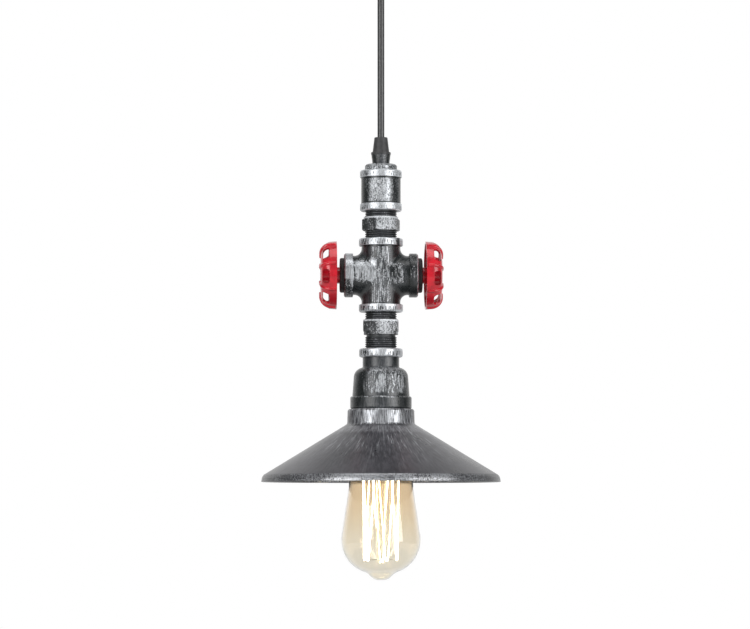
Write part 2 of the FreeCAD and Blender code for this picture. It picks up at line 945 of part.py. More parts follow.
def swept(label, points, diameter, bend=None):
    """Sweep a wire along straight runs joined by arcs, as large as the runs allow if no bend is given."""
    spots = [Vector(*point) for point in points]
    edges = []
    start = spots[0]
    for before, corner, after in zip(spots, spots[1:], spots[2:]):
        arriving = heading(before, corner)
        leaving = heading(corner, after)
        half_turn = arriving.getAngle(leaving) / 2
        room = 0.45 * min(corner.distanceToPoint(before), corner.distanceToPoint(after))
        radius = bend or room / math.tan(half_turn)
        setback = radius * math.tan(half_turn)
        arc_start = corner - arriving * setback
        arc_end = corner + leaving * setback
        inward = heading(corner * 2, arc_start + arc_end)
        arc_middle = corner + inward * radius * (1 / math.cos(half_turn) - 1)
        edges.append(Part.LineSegment(start, arc_start).toShape())
        edges.append(Part.Arc(arc_start, arc_middle, arc_end).toShape())
        start = arc_end
        if bend is None:
            print(f"{label}: bend radius {radius:.1f} mm")
    edges.append(Part.LineSegment(start, spots[-1]).toShape())
    path = Part.Wire(edges)
    circle = Part.Circle(spots[0], heading(spots[0], spots[1]), diameter / 2)
    tube = path.makePipeShell([Part.Wire(circle.toShape())], True, True)
    expected = math.pi * (diameter / 2) ** 2 * path.Length
    if abs(tube.Volume / expected - 1) > 0.01:
        raise RuntimeError(f"{label} has the wrong volume")
    return tube


def canopy_cores():
    """The three cores from the flex tail, up and over, then down into the terminal block."""
    start = (Levels.canopy_floor + dim.stub_length + dim.flex_tail).value
    face = (dim.block_offset - dim.block_width / 2).value
    bore_level = (Levels.canopy_floor + dim.canopy_wall + dim.block_height / 2).value
    crest = -(dim.bar_thickness + dim.core_diameter * 0.8).value
    core = dim.core_diameter.value
    rise = (crest - start) / (1 + math.sqrt(0.5))
    bend = rise * math.sqrt(0.5)
    for step, name in enumerate(CORE_ANGLES, start=-1):
        x, y, _ = on_circle(dim.core_circle.value / 2, CORE_ANGLES[name] + 60, 0)
        across = dim.block_pitch.value * step
        points = [
            (x, y, start),
            (x, y, start + rise),
            (x + across / 12, y + bend, crest),
            (x + across / 5, y + bend + 1.3 * rise, crest),
            (across, face - core / 2, bore_level),
            (across, face + 3 * core, bore_level),
        ]
        feature_from(f"canopy_{name}_core", swept(f"canopy_{name}_core", points, core))


def top_plug():
    """The threaded plug in the top of the coupling, bored for the cord grip's stub."""
    radius = dim.plug_diameter / 2
    foot = -dim.plug_visible - dim.pipe_engagement
    well = dim.plug_well / 2
    bore = dim.stub_diameter / 2 + dim.running_gap
    chamfer = dim.plug_chamfer
    outline = [(bore, 0), (radius - chamfer, 0), (radius, -chamfer), (radius, -dim.plug_visible)]
    outline += pipe_thread(-dim.plug_visible, foot)
    outline += [(well, foot), (well, -dim.plug_floor), (bore, -dim.plug_floor)]
    keep(turned("top_plug", outline, z=Levels.plug_top))


def coupling():
    """The beaded socket under the plug."""
    bead = dim.coupling_bead / 2
    body = dim.coupling_diameter / 2
    bore = dim.pipe_thread / 2 + dim.thread_gap
    edge = dim.coupling_bead_height
    height = dim.coupling_height
    soft = dim.bead_round * 2 / 3
    outline = [
        (bore, 0),
        (bead, 0, dim.bead_round),
        (bead, edge, soft / 2),
        (body, edge),
        (body, height - edge),
        (bead, height - edge, soft / 2),
        (bead, height, dim.bead_round),
        (bore, height),
    ]
    keep(turned("coupling", outline, z=Levels.coupling_foot))


def nipple(label, foot, hex_height, above, below, turn, collar_above=0, collar_below=0):
    """A hollow hex nipple: thread, hexagon with a collar, and thread, placed by the hexagon's foot."""
    bore = dim.pipe_bore / 2
    root = dim.pipe_thread / 2 - dim.pipe_thread_depth
    collar = dim.nipple_collar / 2
    collar_foot = -size(collar_below)
    collar_top = hex_height + collar_above
    bottom = collar_foot - below - dim.pipe_engagement
    top = collar_top + above + dim.pipe_engagement
    outline = [(bore, bottom)]
    outline += pipe_thread(bottom, collar_foot)
    outline += [(collar, collar_foot), (collar, collar_top)]
    outline += pipe_thread(collar_top, top)
    outline += [(bore, top)]
    body = turned(label, outline, z=foot, rotation=Rotation(Vector(0, 0, 1), turn.value))
    hex_ring(body, dim.hex_flats, bore + root, size(0), hex_height, dim.hex_chamfer)
    keep(body)


def bead_outline(radius, end, height):
    """A raised band round the end of an arm, from the axis out."""
    inside = dim.fitting_bore / 2
    return [
        (inside, end - height),
        (radius, end - height, dim.bead_round / 2),
        (radius, end, dim.bead_round),
        (inside, end),
    ]


def swapped(outline):
    """Turn (radius, height) corners into corners along a sideways arm."""
    return [(point[1], point[0], *point[2:]) for point in outline]


def cross():
    """The four-way fitting: two filleted arms with beads and threaded ports."""
    body = new_body("cross_fitting", z=Levels.cross_middle)
    reach = dim.cross_reach
    bead = dim.cross_bead / 2
    column = new_sketch(body, "XZ_Plane", "column")
    draw(column, rectangle(0, -reach, dim.cross_column / 2, reach))
    spin(body, column)
    branch = new_sketch(body, "XZ_Plane", "branch")
    draw(branch, rectangle(-reach, 0, reach, dim.cross_branch / 2))
    arms = spin(body, branch, axis="H_Axis")
    document.recompute()
    seams = [
        f"Edge{number}"
        for number, edge in enumerate(arms.Shape.Edges, start=1)
        if not isinstance(edge.Curve, (Part.Circle, Part.Line))
    ]
    fillet = body.newObject("PartDesign::Fillet", "Fillet")
    fillet.Base = (arms, seams)
    fillet.Radius = dim.cross_fillet.value
    fillet.setExpression("Radius", dim.cross_fillet.text)
    bore = dim.fitting_bore / 2
    port = dim.pipe_thread / 2 + dim.thread_gap
    ends = new_sketch(body, "XZ_Plane", "column_beads")
    sides = new_sketch(body, "XZ_Plane", "branch_beads")
    ports = new_sketch(body, "XZ_Plane", "column_bore")
    side_ports = new_sketch(body, "XZ_Plane", "branch_bore")
    for way in (-1, 1):
        draw(ends, bead_outline(bead, reach * way, dim.cross_bead_height * way))
        draw(sides, swapped(bead_outline(bead, reach * way, dim.side_bead_height * way)))
    depth = reach - dim.port_depth
    bore_outline = [
        (0, -reach),
        (port, -reach),
        (port, -depth),
        (bore, -depth),
        (bore, depth),
        (port, depth),
        (port, reach),
        (0, reach),
    ]
    draw(ports, bore_outline)
    draw(side_ports, swapped(bore_outline))
    spin(body, ends)
    spin(body, sides, axis="H_Axis")
    spin(body, ports, "Groove")
    spin(body, side_ports, "Groove", axis="H_Axis")
    keep(body)


def side_fittings(side, way, rotation, wheel_turn):
    """An end plug, its spindle with nut and washer, and the handwheel that turns on it."""
    seat = {"x": dim.cross_reach * way, "z": Levels.cross_middle, "rotation": rotation}
    spindle = dim.spindle_diameter / 2
    flange = dim.end_plug_flange
    floor = -dim.end_plug_floor
    well = dim.end_plug_well / 2
    foot = -dim.pipe_engagement
    radius = dim.end_plug_diameter / 2
    plug = [(spindle, flange), (spindle, floor), (well, floor), (well, foot)]
    plug += pipe_thread(foot, size(0))
    plug += [(radius, 0), (radius, flange, dim.end_plug_round)]
    keep(turned(f"{side}_end_plug", plug, **seat))

    hub_back = flange + dim.wheel_play
    wheel_back = hub_back + dim.wheel_hub_reach
    well_floor = wheel_back + dim.wheel_depth - dim.wheel_well_depth
    washer_foot = well_floor + dim.wheel_play
    washer_top = washer_foot + dim.washer_thickness
    nut_top = washer_top + dim.wheel_nut_height
    bolt = new_body(f"{side}_spindle", **seat)
    shank = new_sketch(bolt, "XZ_Plane", "shank")
    draw(shank, rectangle(0, floor, spindle, nut_top + dim.spindle_end))
    spin(bolt, shank)
    head = new_sketch(bolt, "XY_Plane", "head", lift=floor - dim.spindle_head_height)
    draw(head, hexagon(dim.spindle_head_flats))
    pad(bolt, head, dim.spindle_head_height)
    keep(bolt)

    washer_bore = spindle + dim.running_gap
    washer = rectangle(washer_bore, washer_foot, dim.washer_diameter / 2, washer_top)
    keep(turned(f"{side}_wheel_washer", washer, **seat))
    nut = new_body(f"{side}_wheel_nut", **seat)
    nut_bore = dim.spindle_diameter + 2 * dim.seat_gap
    hex_ring(nut, dim.wheel_nut_flats, nut_bore, washer_top, dim.wheel_nut_height, NUT_CHAMFER)
    keep(nut)

    turned_seat = dict(seat, rotation=rotation.multiply(Rotation(Vector(0, 0, 1), wheel_turn.value)))
    handwheel(f"{side}_handwheel", hub_back, wheel_back, turned_seat)


def handwheel(label, hub_back, back, seat):
    """A dished wheel, open at the back, with ribs over its shoulder and windows between them."""
    wall = dim.wheel_wall
    rim = dim.wheel_diameter / 2
    shoulder = rim - dim.wheel_draft
    face = back + dim.wheel_depth
    well_floor = face - dim.wheel_well_depth
    well = dim.wheel_well / 2
    bore = dim.spindle_diameter / 2 + dim.running_gap
    hub = dim.wheel_hub / 2
    body = turned(
        label,
        [
            (bore, hub_back),
            (hub, hub_back),
            (hub, well_floor - wall),
            (well + wall, well_floor - wall),
            (well + wall, face - wall),
            (shoulder - wall, face - wall, dim.wheel_round - wall),
            (rim - wall, back),
            (rim, back),
            (shoulder, face, dim.wheel_round),
            (well, face, NUT_CHAMFER),
            (well, well_floor),
            (bore, well_floor),
        ],
        **seat,
    )
    inset = dim.rib_diameter / 2 - dim.rib_bulge
    rib_foot = back + dim.rib_margin
    path = new_sketch(body, "XZ_Plane", "rib_path")
    draw(
        path,
        [
            (rim - inset, rib_foot),
            (shoulder - inset, face - inset, dim.wheel_round - inset),
            (dim.rib_end_circle / 2, face - inset),
        ],
        closed=False,
    )
    section = new_sketch(body, "XY_Plane", "rib_section", lift=rib_foot)
    draw_circle(section, rim - inset, 0, dim.rib_diameter / 2)
    rib = body.newObject("PartDesign::AdditivePipe", "AdditivePipe")
    rib.Profile = section
    rib.Spine = (path, [])
    repeat_round(body, rib, WHEEL_RIBS)

    between_ribs = FULL_TURN / WHEEL_RIBS / 2
    window = new_sketch(body, "YZ_Plane", "window", lift=well + 2 * wall, turn=between_ribs)
    half_width = dim.window_width / 2
    low = back + dim.window_from_back
    high = low + dim.window_height
    draw(window, rectangle(-half_width, low, half_width, high, dim.window_round))
    cut = body.newObject("PartDesign::Pocket", "Pocket")
    cut.Profile = window
    cut.Reversed = True
    cut.Length = rim.value * 2
    cut.setExpression("Length", (rim * 2).text)
    repeat_round(body, cut, WHEEL_RIBS)
    keep(body)


def bell():
    """The bell reducer: a beaded neck that widens to the large thread."""
    bead = dim.bell_bead / 2
    neck = dim.bell_neck / 2
    body = dim.bell_foot / 2
    rim = body + dim.bell_rim_step
    port = dim.pipe_thread / 2 + dim.thread_gap
    passage = dim.fitting_bore / 2
    large = dim.large_thread / 2 + dim.thread_gap
    cavity = dim.bell_cavity / 2
    bead_foot = -dim.bell_bead_height
    shoulder = bead_foot - dim.bell_neck_height
    body_foot = shoulder - dim.bell_body_height
    foot = body_foot - dim.bell_rim_height
    ledge = foot + dim.large_engagement
    cavity_top = shoulder - dim.bell_wall
    outline = [
        (port, 0),
        (bead, 0, dim.bell_bead_round),
        (bead, bead_foot, dim.bell_bead_round),
        (neck, bead_foot),
        (neck, shoulder, dim.bell_neck_round),
        (body - dim.bell_draft, shoulder - dim.bell_shoulder_drop, dim.bell_shoulder_round),
        (body, body_foot),
        (rim, body_foot, dim.bead_round),
        (rim, foot, dim.bead_round),
        (large, foot),
        (large, ledge),
        (cavity, ledge),
        (cavity, cavity_top, dim.bell_wall),
        (passage, cavity_top),
        (passage, -dim.port_depth),
        (port, -dim.port_depth),
    ]
    keep(turned("bell_reducer", outline, z=Levels.bell_top))


def shade():
    """The spun shade, the ring that clamps it to the bell, and the gasket between them."""
    hole = dim.large_thread / 2 + 2 * dim.thread_gap
    collar_foot = -dim.shade_collar_height
    mouth = collar_foot - dim.shade_cone_height
    rim_foot = mouth - dim.shade_rim_height
    collar = dim.shade_collar / 2
    cone = dim.shade_mouth / 2
    rim = cone + dim.shade_rim_flare
    soft = dim.shade_round
    spun = turned_wall(
        "shade",
        [
            (hole, 0),
            (collar, 0, soft),
            (collar + dim.shade_collar_flare, collar_foot, soft),
            (cone, mouth, 2 * soft),
            (rim, rim_foot),
        ],
        dim.shade_wall,
        z=Levels.bell_foot,
    )
    hem = new_sketch(spun, "XZ_Plane", "rolled_hem")
    outer = rim - dim.shade_wall / 2
    hem_outline = rectangle(
        outer - dim.shade_hem_width,
        rim_foot - dim.seat_gap,
        outer,
        rim_foot + dim.shade_hem_height,
        dim.shade_hem_round,
    )
    draw(hem, hem_outline)
    spin(spun, hem)
    keep(spun)

    flange = dim.clamp_flange / 2
    bore = dim.clamp_bore / 2
    gasket_top = Levels.bell_foot - dim.shade_wall
    flange_top = gasket_top - dim.gasket_thickness
    thread_top = Levels.holder_top - flange_top
    ring = [(bore, thread_top)]
    ring += thread_corners(
        dim.large_thread, dim.large_thread_depth, dim.large_pitch, thread_top, size(0)
    )
    ring += [
        (flange, 0, dim.bead_round / 2),
        (flange, -dim.clamp_flange_height, dim.bead_round / 2),
        (bore, -dim.clamp_flange_height),
    ]
    keep(turned("shade_clamp_ring", ring, z=flange_top))
    gasket = rectangle(hole, -dim.gasket_thickness, dim.gasket_diameter / 2, 0)
    keep(turned("shade_gasket", gasket, z=gasket_top))


def lampholder():
    """The porcelain holder hung on its bracket, with shell, contact, terminals and screws."""
    screw_places = [dim.holder_screw_spacing / 2 * side for side in (-1, 1)]
    terminal_places = [dim.terminal_spacing / 2 * side for side in (-1, 1)]
    top = Levels.holder_top
    height = dim.holder_height
    roof = -dim.holder_roof

    bracket = turned(
        "lampholder_bracket",
        rectangle(0, 0, dim.large_thread / 2, dim.bracket_thickness),
        z=top,
    )
    drill(
        bracket,
        [(0, 0, dim.bracket_wire_hole)]
        + [(x, 0, dim.holder_screw + 2 * dim.thread_gap) for x in screw_places]
        + [(0, y, dim.terminal_diameter) for y in terminal_places],
    )
    keep(bracket)

    shell_inside = dim.cap_thread / 2 + dim.cap_gap
    shell_outside = shell_inside + dim.shell_wall
    radius = dim.holder_diameter / 2
    stem_bore = dim.contact_stem / 2 + dim.contact_play
    stem_room = dim.contact_stem_length - dim.contact_play + dim.seat_gap
    porcelain = turned(
        "lampholder_body",
        [
            (0, 0),
            (radius, 0, dim.holder_round),
            (radius, -height, dim.holder_round / 2),
            (shell_outside, -height),
            (shell_outside, roof),
            (stem_bore, roof),
            (stem_bore, roof + stem_room),
            (0, roof + stem_room),
        ],
        z=top,
    )
    screw_holes = [(x, 0, dim.holder_screw + 2 * dim.seat_gap) for x in screw_places]
    sink(porcelain, screw_holes, size(0), dim.holder_screw_depth + dim.seat_gap, "screw_holes")
    terminal_holes = [(0, y, dim.terminal_diameter + 2 * dim.seat_gap) for y in terminal_places]
    sink(porcelain, terminal_holes, size(0), dim.terminal_height, "terminal_holes")
    keep(porcelain)

    shell = turned(
        "lampholder_shell",
        [
            (shell_outside, -height + dim.shell_lip),
            (shell_outside, roof),
            (shell_inside - dim.shell_lip, roof),
            (shell_inside - dim.shell_lip, roof - dim.shell_wall),
            (shell_inside, roof - dim.shell_wall),
            (shell_inside, -height + dim.shell_lip),
        ],
        z=top,
    )
    keep(shell)

    stem = dim.contact_stem / 2
    keep(
        turned(
            "lampholder_contact",
            [
                (0, -dim.contact_thickness),
                (dim.contact_diameter / 2, -dim.contact_thickness, dim.contact_thickness / 3),
                (dim.contact_diameter / 2, 0),
                (stem, 0),
                (stem, dim.contact_stem_length - dim.contact_play),
                (0, dim.contact_stem_length - dim.contact_play),
            ],
            z=Levels.contact_top,
        )
    )

    screws = []
    for number, x in enumerate(screw_places):
        head_foot = dim.bracket_thickness
        head_top = head_foot + dim.holder_screw_head_height
        screw = turned(
            f"holder_screw_{number}",
            [
                (0, -dim.holder_screw_depth),
                (dim.holder_screw / 2, -dim.holder_screw_depth),
                (dim.holder_screw / 2, head_foot),
                (dim.holder_screw_head / 2, head_foot),
                (dim.holder_screw_head / 2, head_top, NUT_CHAMFER),
                (0, head_top),
            ],
            x=x,
            z=top,
        )
        screws.append(screw)
    group("lampholder_screws", screws)
    posts = [
        turned(
            f"terminal_{number}",
            rectangle(0, -dim.terminal_height, dim.terminal_diameter / 2, 0),
            y=y,
            z=top,
        )
        for number, y in enumerate(terminal_places)
    ]
    group("lampholder_terminals", posts)


def lamp_cores():
    """The three cores from the end of the flex down to the lampholder."""
    start = (Levels.flex_end - dim.seat_gap).value
    neck_foot = (Levels.bell_top - dim.bell_bead_height - dim.bell_neck_height).value
    core = dim.core_diameter.value
    circle = dim.core_circle.value / 2
    terminal = dim.terminal_spacing.value / 2
    bracket_top = Levels.bell_ledge.value
    holder_top = Levels.holder_top.value
    landings = {
        "live": (0, terminal, holder_top),
        "neutral": (0, -terminal, holder_top),
        "earth": (dim.earth_landing_x.value, dim.earth_landing_y.value, bracket_top),
    }
    for name, (x, y, z) in landings.items():
        points = [
            on_circle(circle, CORE_ANGLES[name], start),
            on_circle(circle, CORE_ANGLES[name], neck_foot),
            (x, y, bracket_top + 3 * core),
            (x, y, z),
        ]
        feature_from(f"{name}_core", swept(f"{name}_core", points, core))


def bulb():
    """The bulb, from the button of its cap down to the tip of its glass."""
    button_foot = -dim.bulb_button_height
    button = dim.bulb_button / 2
    soft = dim.bulb_button_height / 2
    keep(
        turned(
            "bulb_button",
            [(0, button_foot), (button, button_foot), (button, 0, soft), (0, 0)],
            z=Levels.bulb_top,
        )
    )
    insulator = dim.insulator_diameter / 2
    cone_foot = button_foot - dim.insulator_cone
    insulator_foot = button_foot - dim.insulator_height
    keep(
        turned(
            "bulb_insulator",
            [
                (0, insulator_foot),
                (insulator, insulator_foot),
                (insulator, cone_foot),
                (button, button_foot),
                (0, button_foot),
            ],
            z=Levels.bulb_top,
        )
    )

    crest = dim.cap_thread / 2
    inside = dim.cap_inside / 2
    collar = insulator + dim.thread_gap
    neck_top = -dim.glass_neck_inside
    cap_foot = -dim.cap_length
    cap = [(inside, cap_foot), (crest, cap_foot, NUT_CHAMFER)]
    thread_foot = cap_foot + dim.cap_rim_height
    cap += thread_corners(
        dim.cap_thread, dim.cap_thread_depth, dim.cap_pitch, thread_foot, insulator_foot
    )
    cap += [
        (insulator + dim.cap_thread_depth, cone_foot),
        (collar, cone_foot),
        (collar, insulator_foot),
        (inside, insulator_foot - dim.cap_thread_depth),
    ]
    keep(turned("bulb_cap", cap, z=Levels.bulb_top))

    foot = -dim.bulb_length + dim.bulb_tip_height
    neck_foot = cap_foot - dim.cap_thread_depth
    glass = turned_wall(
        "bulb_glass",
        [
            (dim.glass_neck / 2, neck_top),
            (dim.glass_neck / 2, neck_foot, dim.glass_neck_round),
            (dim.glass_shoulder / 2, cap_foot - dim.glass_shoulder_drop, dim.glass_shoulder_round),
            (dim.glass_waist / 2, cap_foot - dim.glass_waist_drop, dim.glass_waist_round),
            (dim.glass_foot / 2, foot, dim.glass_foot_round),
            (0, foot),
        ],
        dim.glass_wall,
        z=Levels.bulb_top,
    )
    tip = new_sketch(glass, "XZ_Plane", "exhaust_tip")
    tip_radius = dim.bulb_tip / 2
    draw(
        tip,
        [
            (0, -dim.bulb_length),
            (tip_radius, -dim.bulb_length, dim.bulb_tip_round),
            (tip_radius, foot + dim.glass_wall * 3 / 4),
            (0, foot + dim.glass_wall * 3 / 4),
        ],
    )
    spin(glass, tip)
    keep(glass)

    stem = dim.stem_diameter / 2
    flare = dim.stem_flare / 2
    flare_foot = neck_top - dim.stem_flare_height
    stem_foot = foot + dim.stem_clear_of_foot
    keep(
        turned(
            "bulb_stem",
            [
                (0, stem_foot),
                (stem, stem_foot, dim.stem_round),
                (stem, flare_foot, dim.stem_diameter / 2),
                (flare, neck_top),
                (0, neck_top),
            ],
            z=Levels.bulb_top,
        )
    )


def hook_angle(hook):
    """Return where one of the filament's hooks stands round the stem."""
    return dim.filament_turn.value + FULL_TURN * hook / (FILAMENT_LEGS + 1)


def filament():
    """The squirrel cage: one wire up and down round the stem, over hooks, with its two leads."""
    radius = dim.filament_circle.value / 2
    stem = dim.stem_diameter.value / 2
    wire_diameter = dim.filament_wire.value
    hook_diameter = dim.support_wire.value
    bend = dim.filament_bend.value
    bulb_top = Levels.bulb_top.value
    top = bulb_top - dim.filament_top.value
    glass_foot = bulb_top - dim.bulb_length.value + dim.bulb_tip_height.value
    foot = glass_foot + dim.stem_clear_of_foot.value + dim.stem_round.value + wire_diameter
    hooks = FILAMENT_LEGS + 1
    lean = math.degrees(2.4 * bend / radius) / 2
    spots = []
    for hook in range(hooks):
        level = foot if hook % 2 else top
        spots += [on_circle(radius, hook_angle(hook) + side * lean, level) for side in (-1, 1)]
    wire = swept("filament", spots[1:-1], wire_diameter, bend)
    feature_from("bulb_filament", wire)

    inset = (wire_diameter + hook_diameter) / 2 + dim.seat_gap.value
    supports = []
    for hook in range(1, hooks - 1):
        level = foot + inset if hook % 2 else top - inset
        start = Vector(*on_circle(stem, hook_angle(hook), level))
        end = Vector(*on_circle(radius + inset, hook_angle(hook), level))
        length = start.distanceToPoint(end)
        supports.append(Part.makeCylinder(hook_diameter / 2, length, start, end - start))
    feature_from("bulb_support_wires", Part.makeCompound(supports))

    lead_top = top + dim.lead_rise.value
    gap = dim.seat_gap.value
    leads = []
    for hook, side in ((0, 1), (hooks - 1, -1)):
        angle = hook_angle(hook) + side * lean
        points = [
            on_circle(stem, hook_angle(hook), lead_top),
            on_circle(radius, angle, lead_top),
            on_circle(radius, angle, top + gap),
        ]
        leads.append(swept("lead", points, wire_diameter, bend))
    feature_from("bulb_lead_wires", Part.makeCompound(leads))


def check_document():
    """Stop if any object failed, or if a cut removed nothing."""
    document.recompute()
    for item in document.Objects:
        if "Invalid" in item.State or "Error" in item.State:
            raise RuntimeError(f"{item.Label} failed: {item.State}")
        if item.TypeId in ("PartDesign::Pocket", "PartDesign::Groove"):
            if item.Shape.Volume > item.BaseFeature.Shape.Volume - 1e-6:
                raise RuntimeError(f"{item.Label} cuts nothing")
    for node in nodes:
        if node.Shape.isNull() or not node.Shape.isValid():
            raise RuntimeError(f"{node.Label} has no valid shape")


def write_nodes():
    os.makedirs("parts", exist_ok=True)
    for node in nodes:
        node.Shape.exportStep(f"parts/{node.Label}.step")
        print(f"{node.Label}: {len(node.Shape.Solids)} solids, {node.Shape.Volume:.0f} mm3")


canopy()
terminal_block()
cord_grip("canopy_grip", Levels.canopy_floor, UPSIDE_DOWN, dim.canopy_wall)
flex()
canopy_cores()
cord_grip("lamp_grip", Levels.plug_top, UPRIGHT, dim.plug_floor)
top_plug()
coupling()
nipple(
    "upper_nipple",
    Levels.upper_hex_foot,
    dim.upper_hex_height,
    dim.upper_thread_above,
    dim.upper_thread_below,
    dim.upper_hex_turn,
    collar_above=dim.upper_collar_height,
)
cross()
side_fittings("left", -1, FACING_LEFT, dim.left_wheel_turn)
side_fittings("right", 1, FACING_RIGHT, dim.right_wheel_turn)
nipple(
    "lower_nipple",
    Levels.lower_hex_foot,
    dim.lower_hex_height,
    dim.lower_thread_above,
    dim.lower_thread_below,
    dim.lower_hex_turn,
    collar_below=dim.lower_collar_height,
)
bell()
shade()
lampholder()
lamp_cores()
bulb()
filament()
check_document()
write_nodes()
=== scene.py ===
import logging
import math
from dataclasses import dataclass, replace
from enum import Enum
from typing import Any, Iterable

import bpy
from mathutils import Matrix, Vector


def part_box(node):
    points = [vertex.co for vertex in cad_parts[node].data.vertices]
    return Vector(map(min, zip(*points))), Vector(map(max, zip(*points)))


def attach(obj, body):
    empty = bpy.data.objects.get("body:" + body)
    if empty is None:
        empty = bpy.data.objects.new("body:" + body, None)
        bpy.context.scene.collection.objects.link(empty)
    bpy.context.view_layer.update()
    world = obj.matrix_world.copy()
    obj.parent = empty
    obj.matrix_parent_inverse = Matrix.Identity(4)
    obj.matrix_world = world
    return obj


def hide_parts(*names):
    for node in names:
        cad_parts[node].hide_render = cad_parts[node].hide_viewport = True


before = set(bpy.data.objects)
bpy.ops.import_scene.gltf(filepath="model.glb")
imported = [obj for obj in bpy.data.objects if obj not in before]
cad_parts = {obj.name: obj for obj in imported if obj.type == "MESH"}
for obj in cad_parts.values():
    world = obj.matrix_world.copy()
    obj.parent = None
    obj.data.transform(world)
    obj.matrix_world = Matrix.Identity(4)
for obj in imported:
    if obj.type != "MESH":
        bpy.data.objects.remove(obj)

LOG = logging.getLogger("pipe_pendant")
NODES: dict[str, bpy.types.Object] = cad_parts
MM = 0.001
# The middle of a noise's range, and of a mask's
MIDDLE = 0.5

Colour = tuple[float, float, float]
Point = tuple[float, float, float]
# The value that gives 0 and the one that gives 1, in a smooth step
Band = tuple[float, float]


class Ray(Enum):
    """The kinds of ray that a shader tells apart, by the Light Path node's outputs."""

    CAMERA = "Is Camera Ray"
    GLOSSY = "Is Glossy Ray"
    CLEAR = "Is Transmission Ray"


class Side(Enum):
    """The sides of the cross that carry a handwheel."""

    LEFT = "left"
    RIGHT = "right"


class Core(Enum):
    """The wires in the flex, by the names of their nodes."""

    LIVE = "live"
    NEUTRAL = "neutral"
    EARTH = "earth"


class Signal:
    """A socket's value, whose arithmetic adds Math nodes to its tree."""

    def __init__(self, graph: "NodeTree", socket: bpy.types.NodeSocket) -> None:
        """Wrap one output socket, with the tree that makes new nodes."""
        self.graph = graph
        self.socket = socket

    def _math(self, operation: str, *values: Any, clamp: bool = False) -> "Signal":
        """Return the result of a new Math node, kept between 0 and 1 where clamp is set."""
        settings = {"operation": operation, "use_clamp": clamp}
        return self.graph.node("ShaderNodeMath", settings, dict(enumerate(values)))

    def __add__(self, other: Any) -> "Signal":
        """Add a number or a signal."""
        return self._math("ADD", self, other)

    def __radd__(self, other: Any) -> "Signal":
        """Add to a number."""
        return self._math("ADD", other, self)

    def __sub__(self, other: Any) -> "Signal":
        """Subtract a number or a signal."""
        return self._math("SUBTRACT", self, other)

    def __rsub__(self, other: Any) -> "Signal":
        """Subtract from a number."""
        return self._math("SUBTRACT", other, self)

    def __mul__(self, other: Any) -> "Signal":
        """Multiply by a number or a signal."""
        return self._math("MULTIPLY", self, other)

    def __rmul__(self, other: Any) -> "Signal":
        """Multiply a number."""
        return self._math("MULTIPLY", other, self)

    def __truediv__(self, other: Any) -> "Signal":
        """Divide by a number or a signal."""
        return self._math("DIVIDE", self, other)

    def __pow__(self, other: Any) -> "Signal":
        """Raise to a power."""
        return self._math("POWER", self, other)

    def __abs__(self) -> "Signal":
        """Drop the sign."""
        return self._math("ABSOLUTE", self)

    def top(self, other: Any) -> "Signal":
        """Return the larger of two values."""
        return self._math("MAXIMUM", self, other)

    def root(self) -> "Signal":
        """Return the square root."""
        return self._math("SQRT", self)

    def clamped(self) -> "Signal":
        """Keep the value between 0 and 1."""
        return self._math("ADD", self, 0.0, clamp=True)

    def ramp(self, low: float, high: float) -> "Signal":
        """Rise smoothly from 0 at one value to 1 at another.

        Args:
            low: The value that gives 0.
            high: The value that gives 1, which may be the smaller.

        Returns:
            The smooth step.
        """
        if low > high:
            return 1 - self.ramp(high, low)
        settings = {"interpolation_type": "SMOOTHSTEP"}
        values = {"Value": self, "From Min": low, "From Max": high}
        return self.graph.node("ShaderNodeMapRange", settings, values)

    def cut(self, level: float, slope: float) -> "Signal":
        """Return 0 below the level and 1 above it, with a slope from one to the other."""
        return ((self - level) * slope + MIDDLE).clamped()


def weighted(weights: Iterable[float], *signals: Signal) -> Signal:
    """Return the sum of the signals, each times its weight."""
    return sum(signal * weight for weight, signal in zip(weights, signals))


class NodeTree:
    """A node tree, with one way to add a node and one to feed a socket."""

    def __init__(self, tree: bpy.types.NodeTree) -> None:
        """Start by emptying the tree of a material or of the world."""
        self.tree = tree
        self.tree.nodes.clear()

    def add(self, kind: str, settings: dict[str, Any], values: dict[Any, Any]) -> bpy.types.Node:
        """Add a node of any kind.

        Args:
            kind: The node's type.
            settings: Its attributes, set first.
            values: Its inputs by name or number, each a value or a signal.

        Returns:
            The node.
        """
        made = self.tree.nodes.new(kind)
        for key, value in settings.items():
            setattr(made, key, value)
        for key, value in values.items():
            self.feed(made.inputs[key], value)
        return made

    def node(
        self,
        kind: str,
        settings: dict[str, Any],
        values: dict[Any, Any],
        result: Any = None,
    ) -> Signal:
        """Add a node and take one of its outputs.

        Args:
            kind: The node's type.
            settings: Its attributes, set first.
            values: Its inputs by name or number, each a value or a signal.
            result: The output to return, by name or number; the first that is shown if left out.

        Returns:
            The chosen output.
        """
        made = self.add(kind, settings, values)
        if result is not None:
            return Signal(self, made.outputs[result])
        return Signal(self, next(out for out in made.outputs if out.enabled))

    def feed(self, socket: bpy.types.NodeSocket, value: Any) -> None:
        """Link a signal to an input, or set the input's own value.

        Args:
            socket: The input.
            value: A signal, a number or a colour.
        """
        if isinstance(value, Signal):
            self.tree.links.new(value.socket, socket)
        elif isinstance(value, (tuple, list)) and socket.type == "RGBA":
            socket.default_value = (*value[:3], 1.0)
        else:
            socket.default_value = value

    def split(self, where: Signal) -> tuple[Signal, Signal, Signal]:
        """Return the x, y and z of a vector."""
        made = self.add("ShaderNodeSeparateXYZ", {}, {0: where})
        return tuple(Signal(self, made.outputs[name]) for name in "XYZ")

    def rays(self) -> dict[Ray, Signal]:
        """Return, for each kind of ray, 1 where such a ray sees the surface."""
        path = self.add("ShaderNodeLightPath", {}, {})
        return {ray: Signal(self, path.outputs[ray.value]) for ray in Ray}


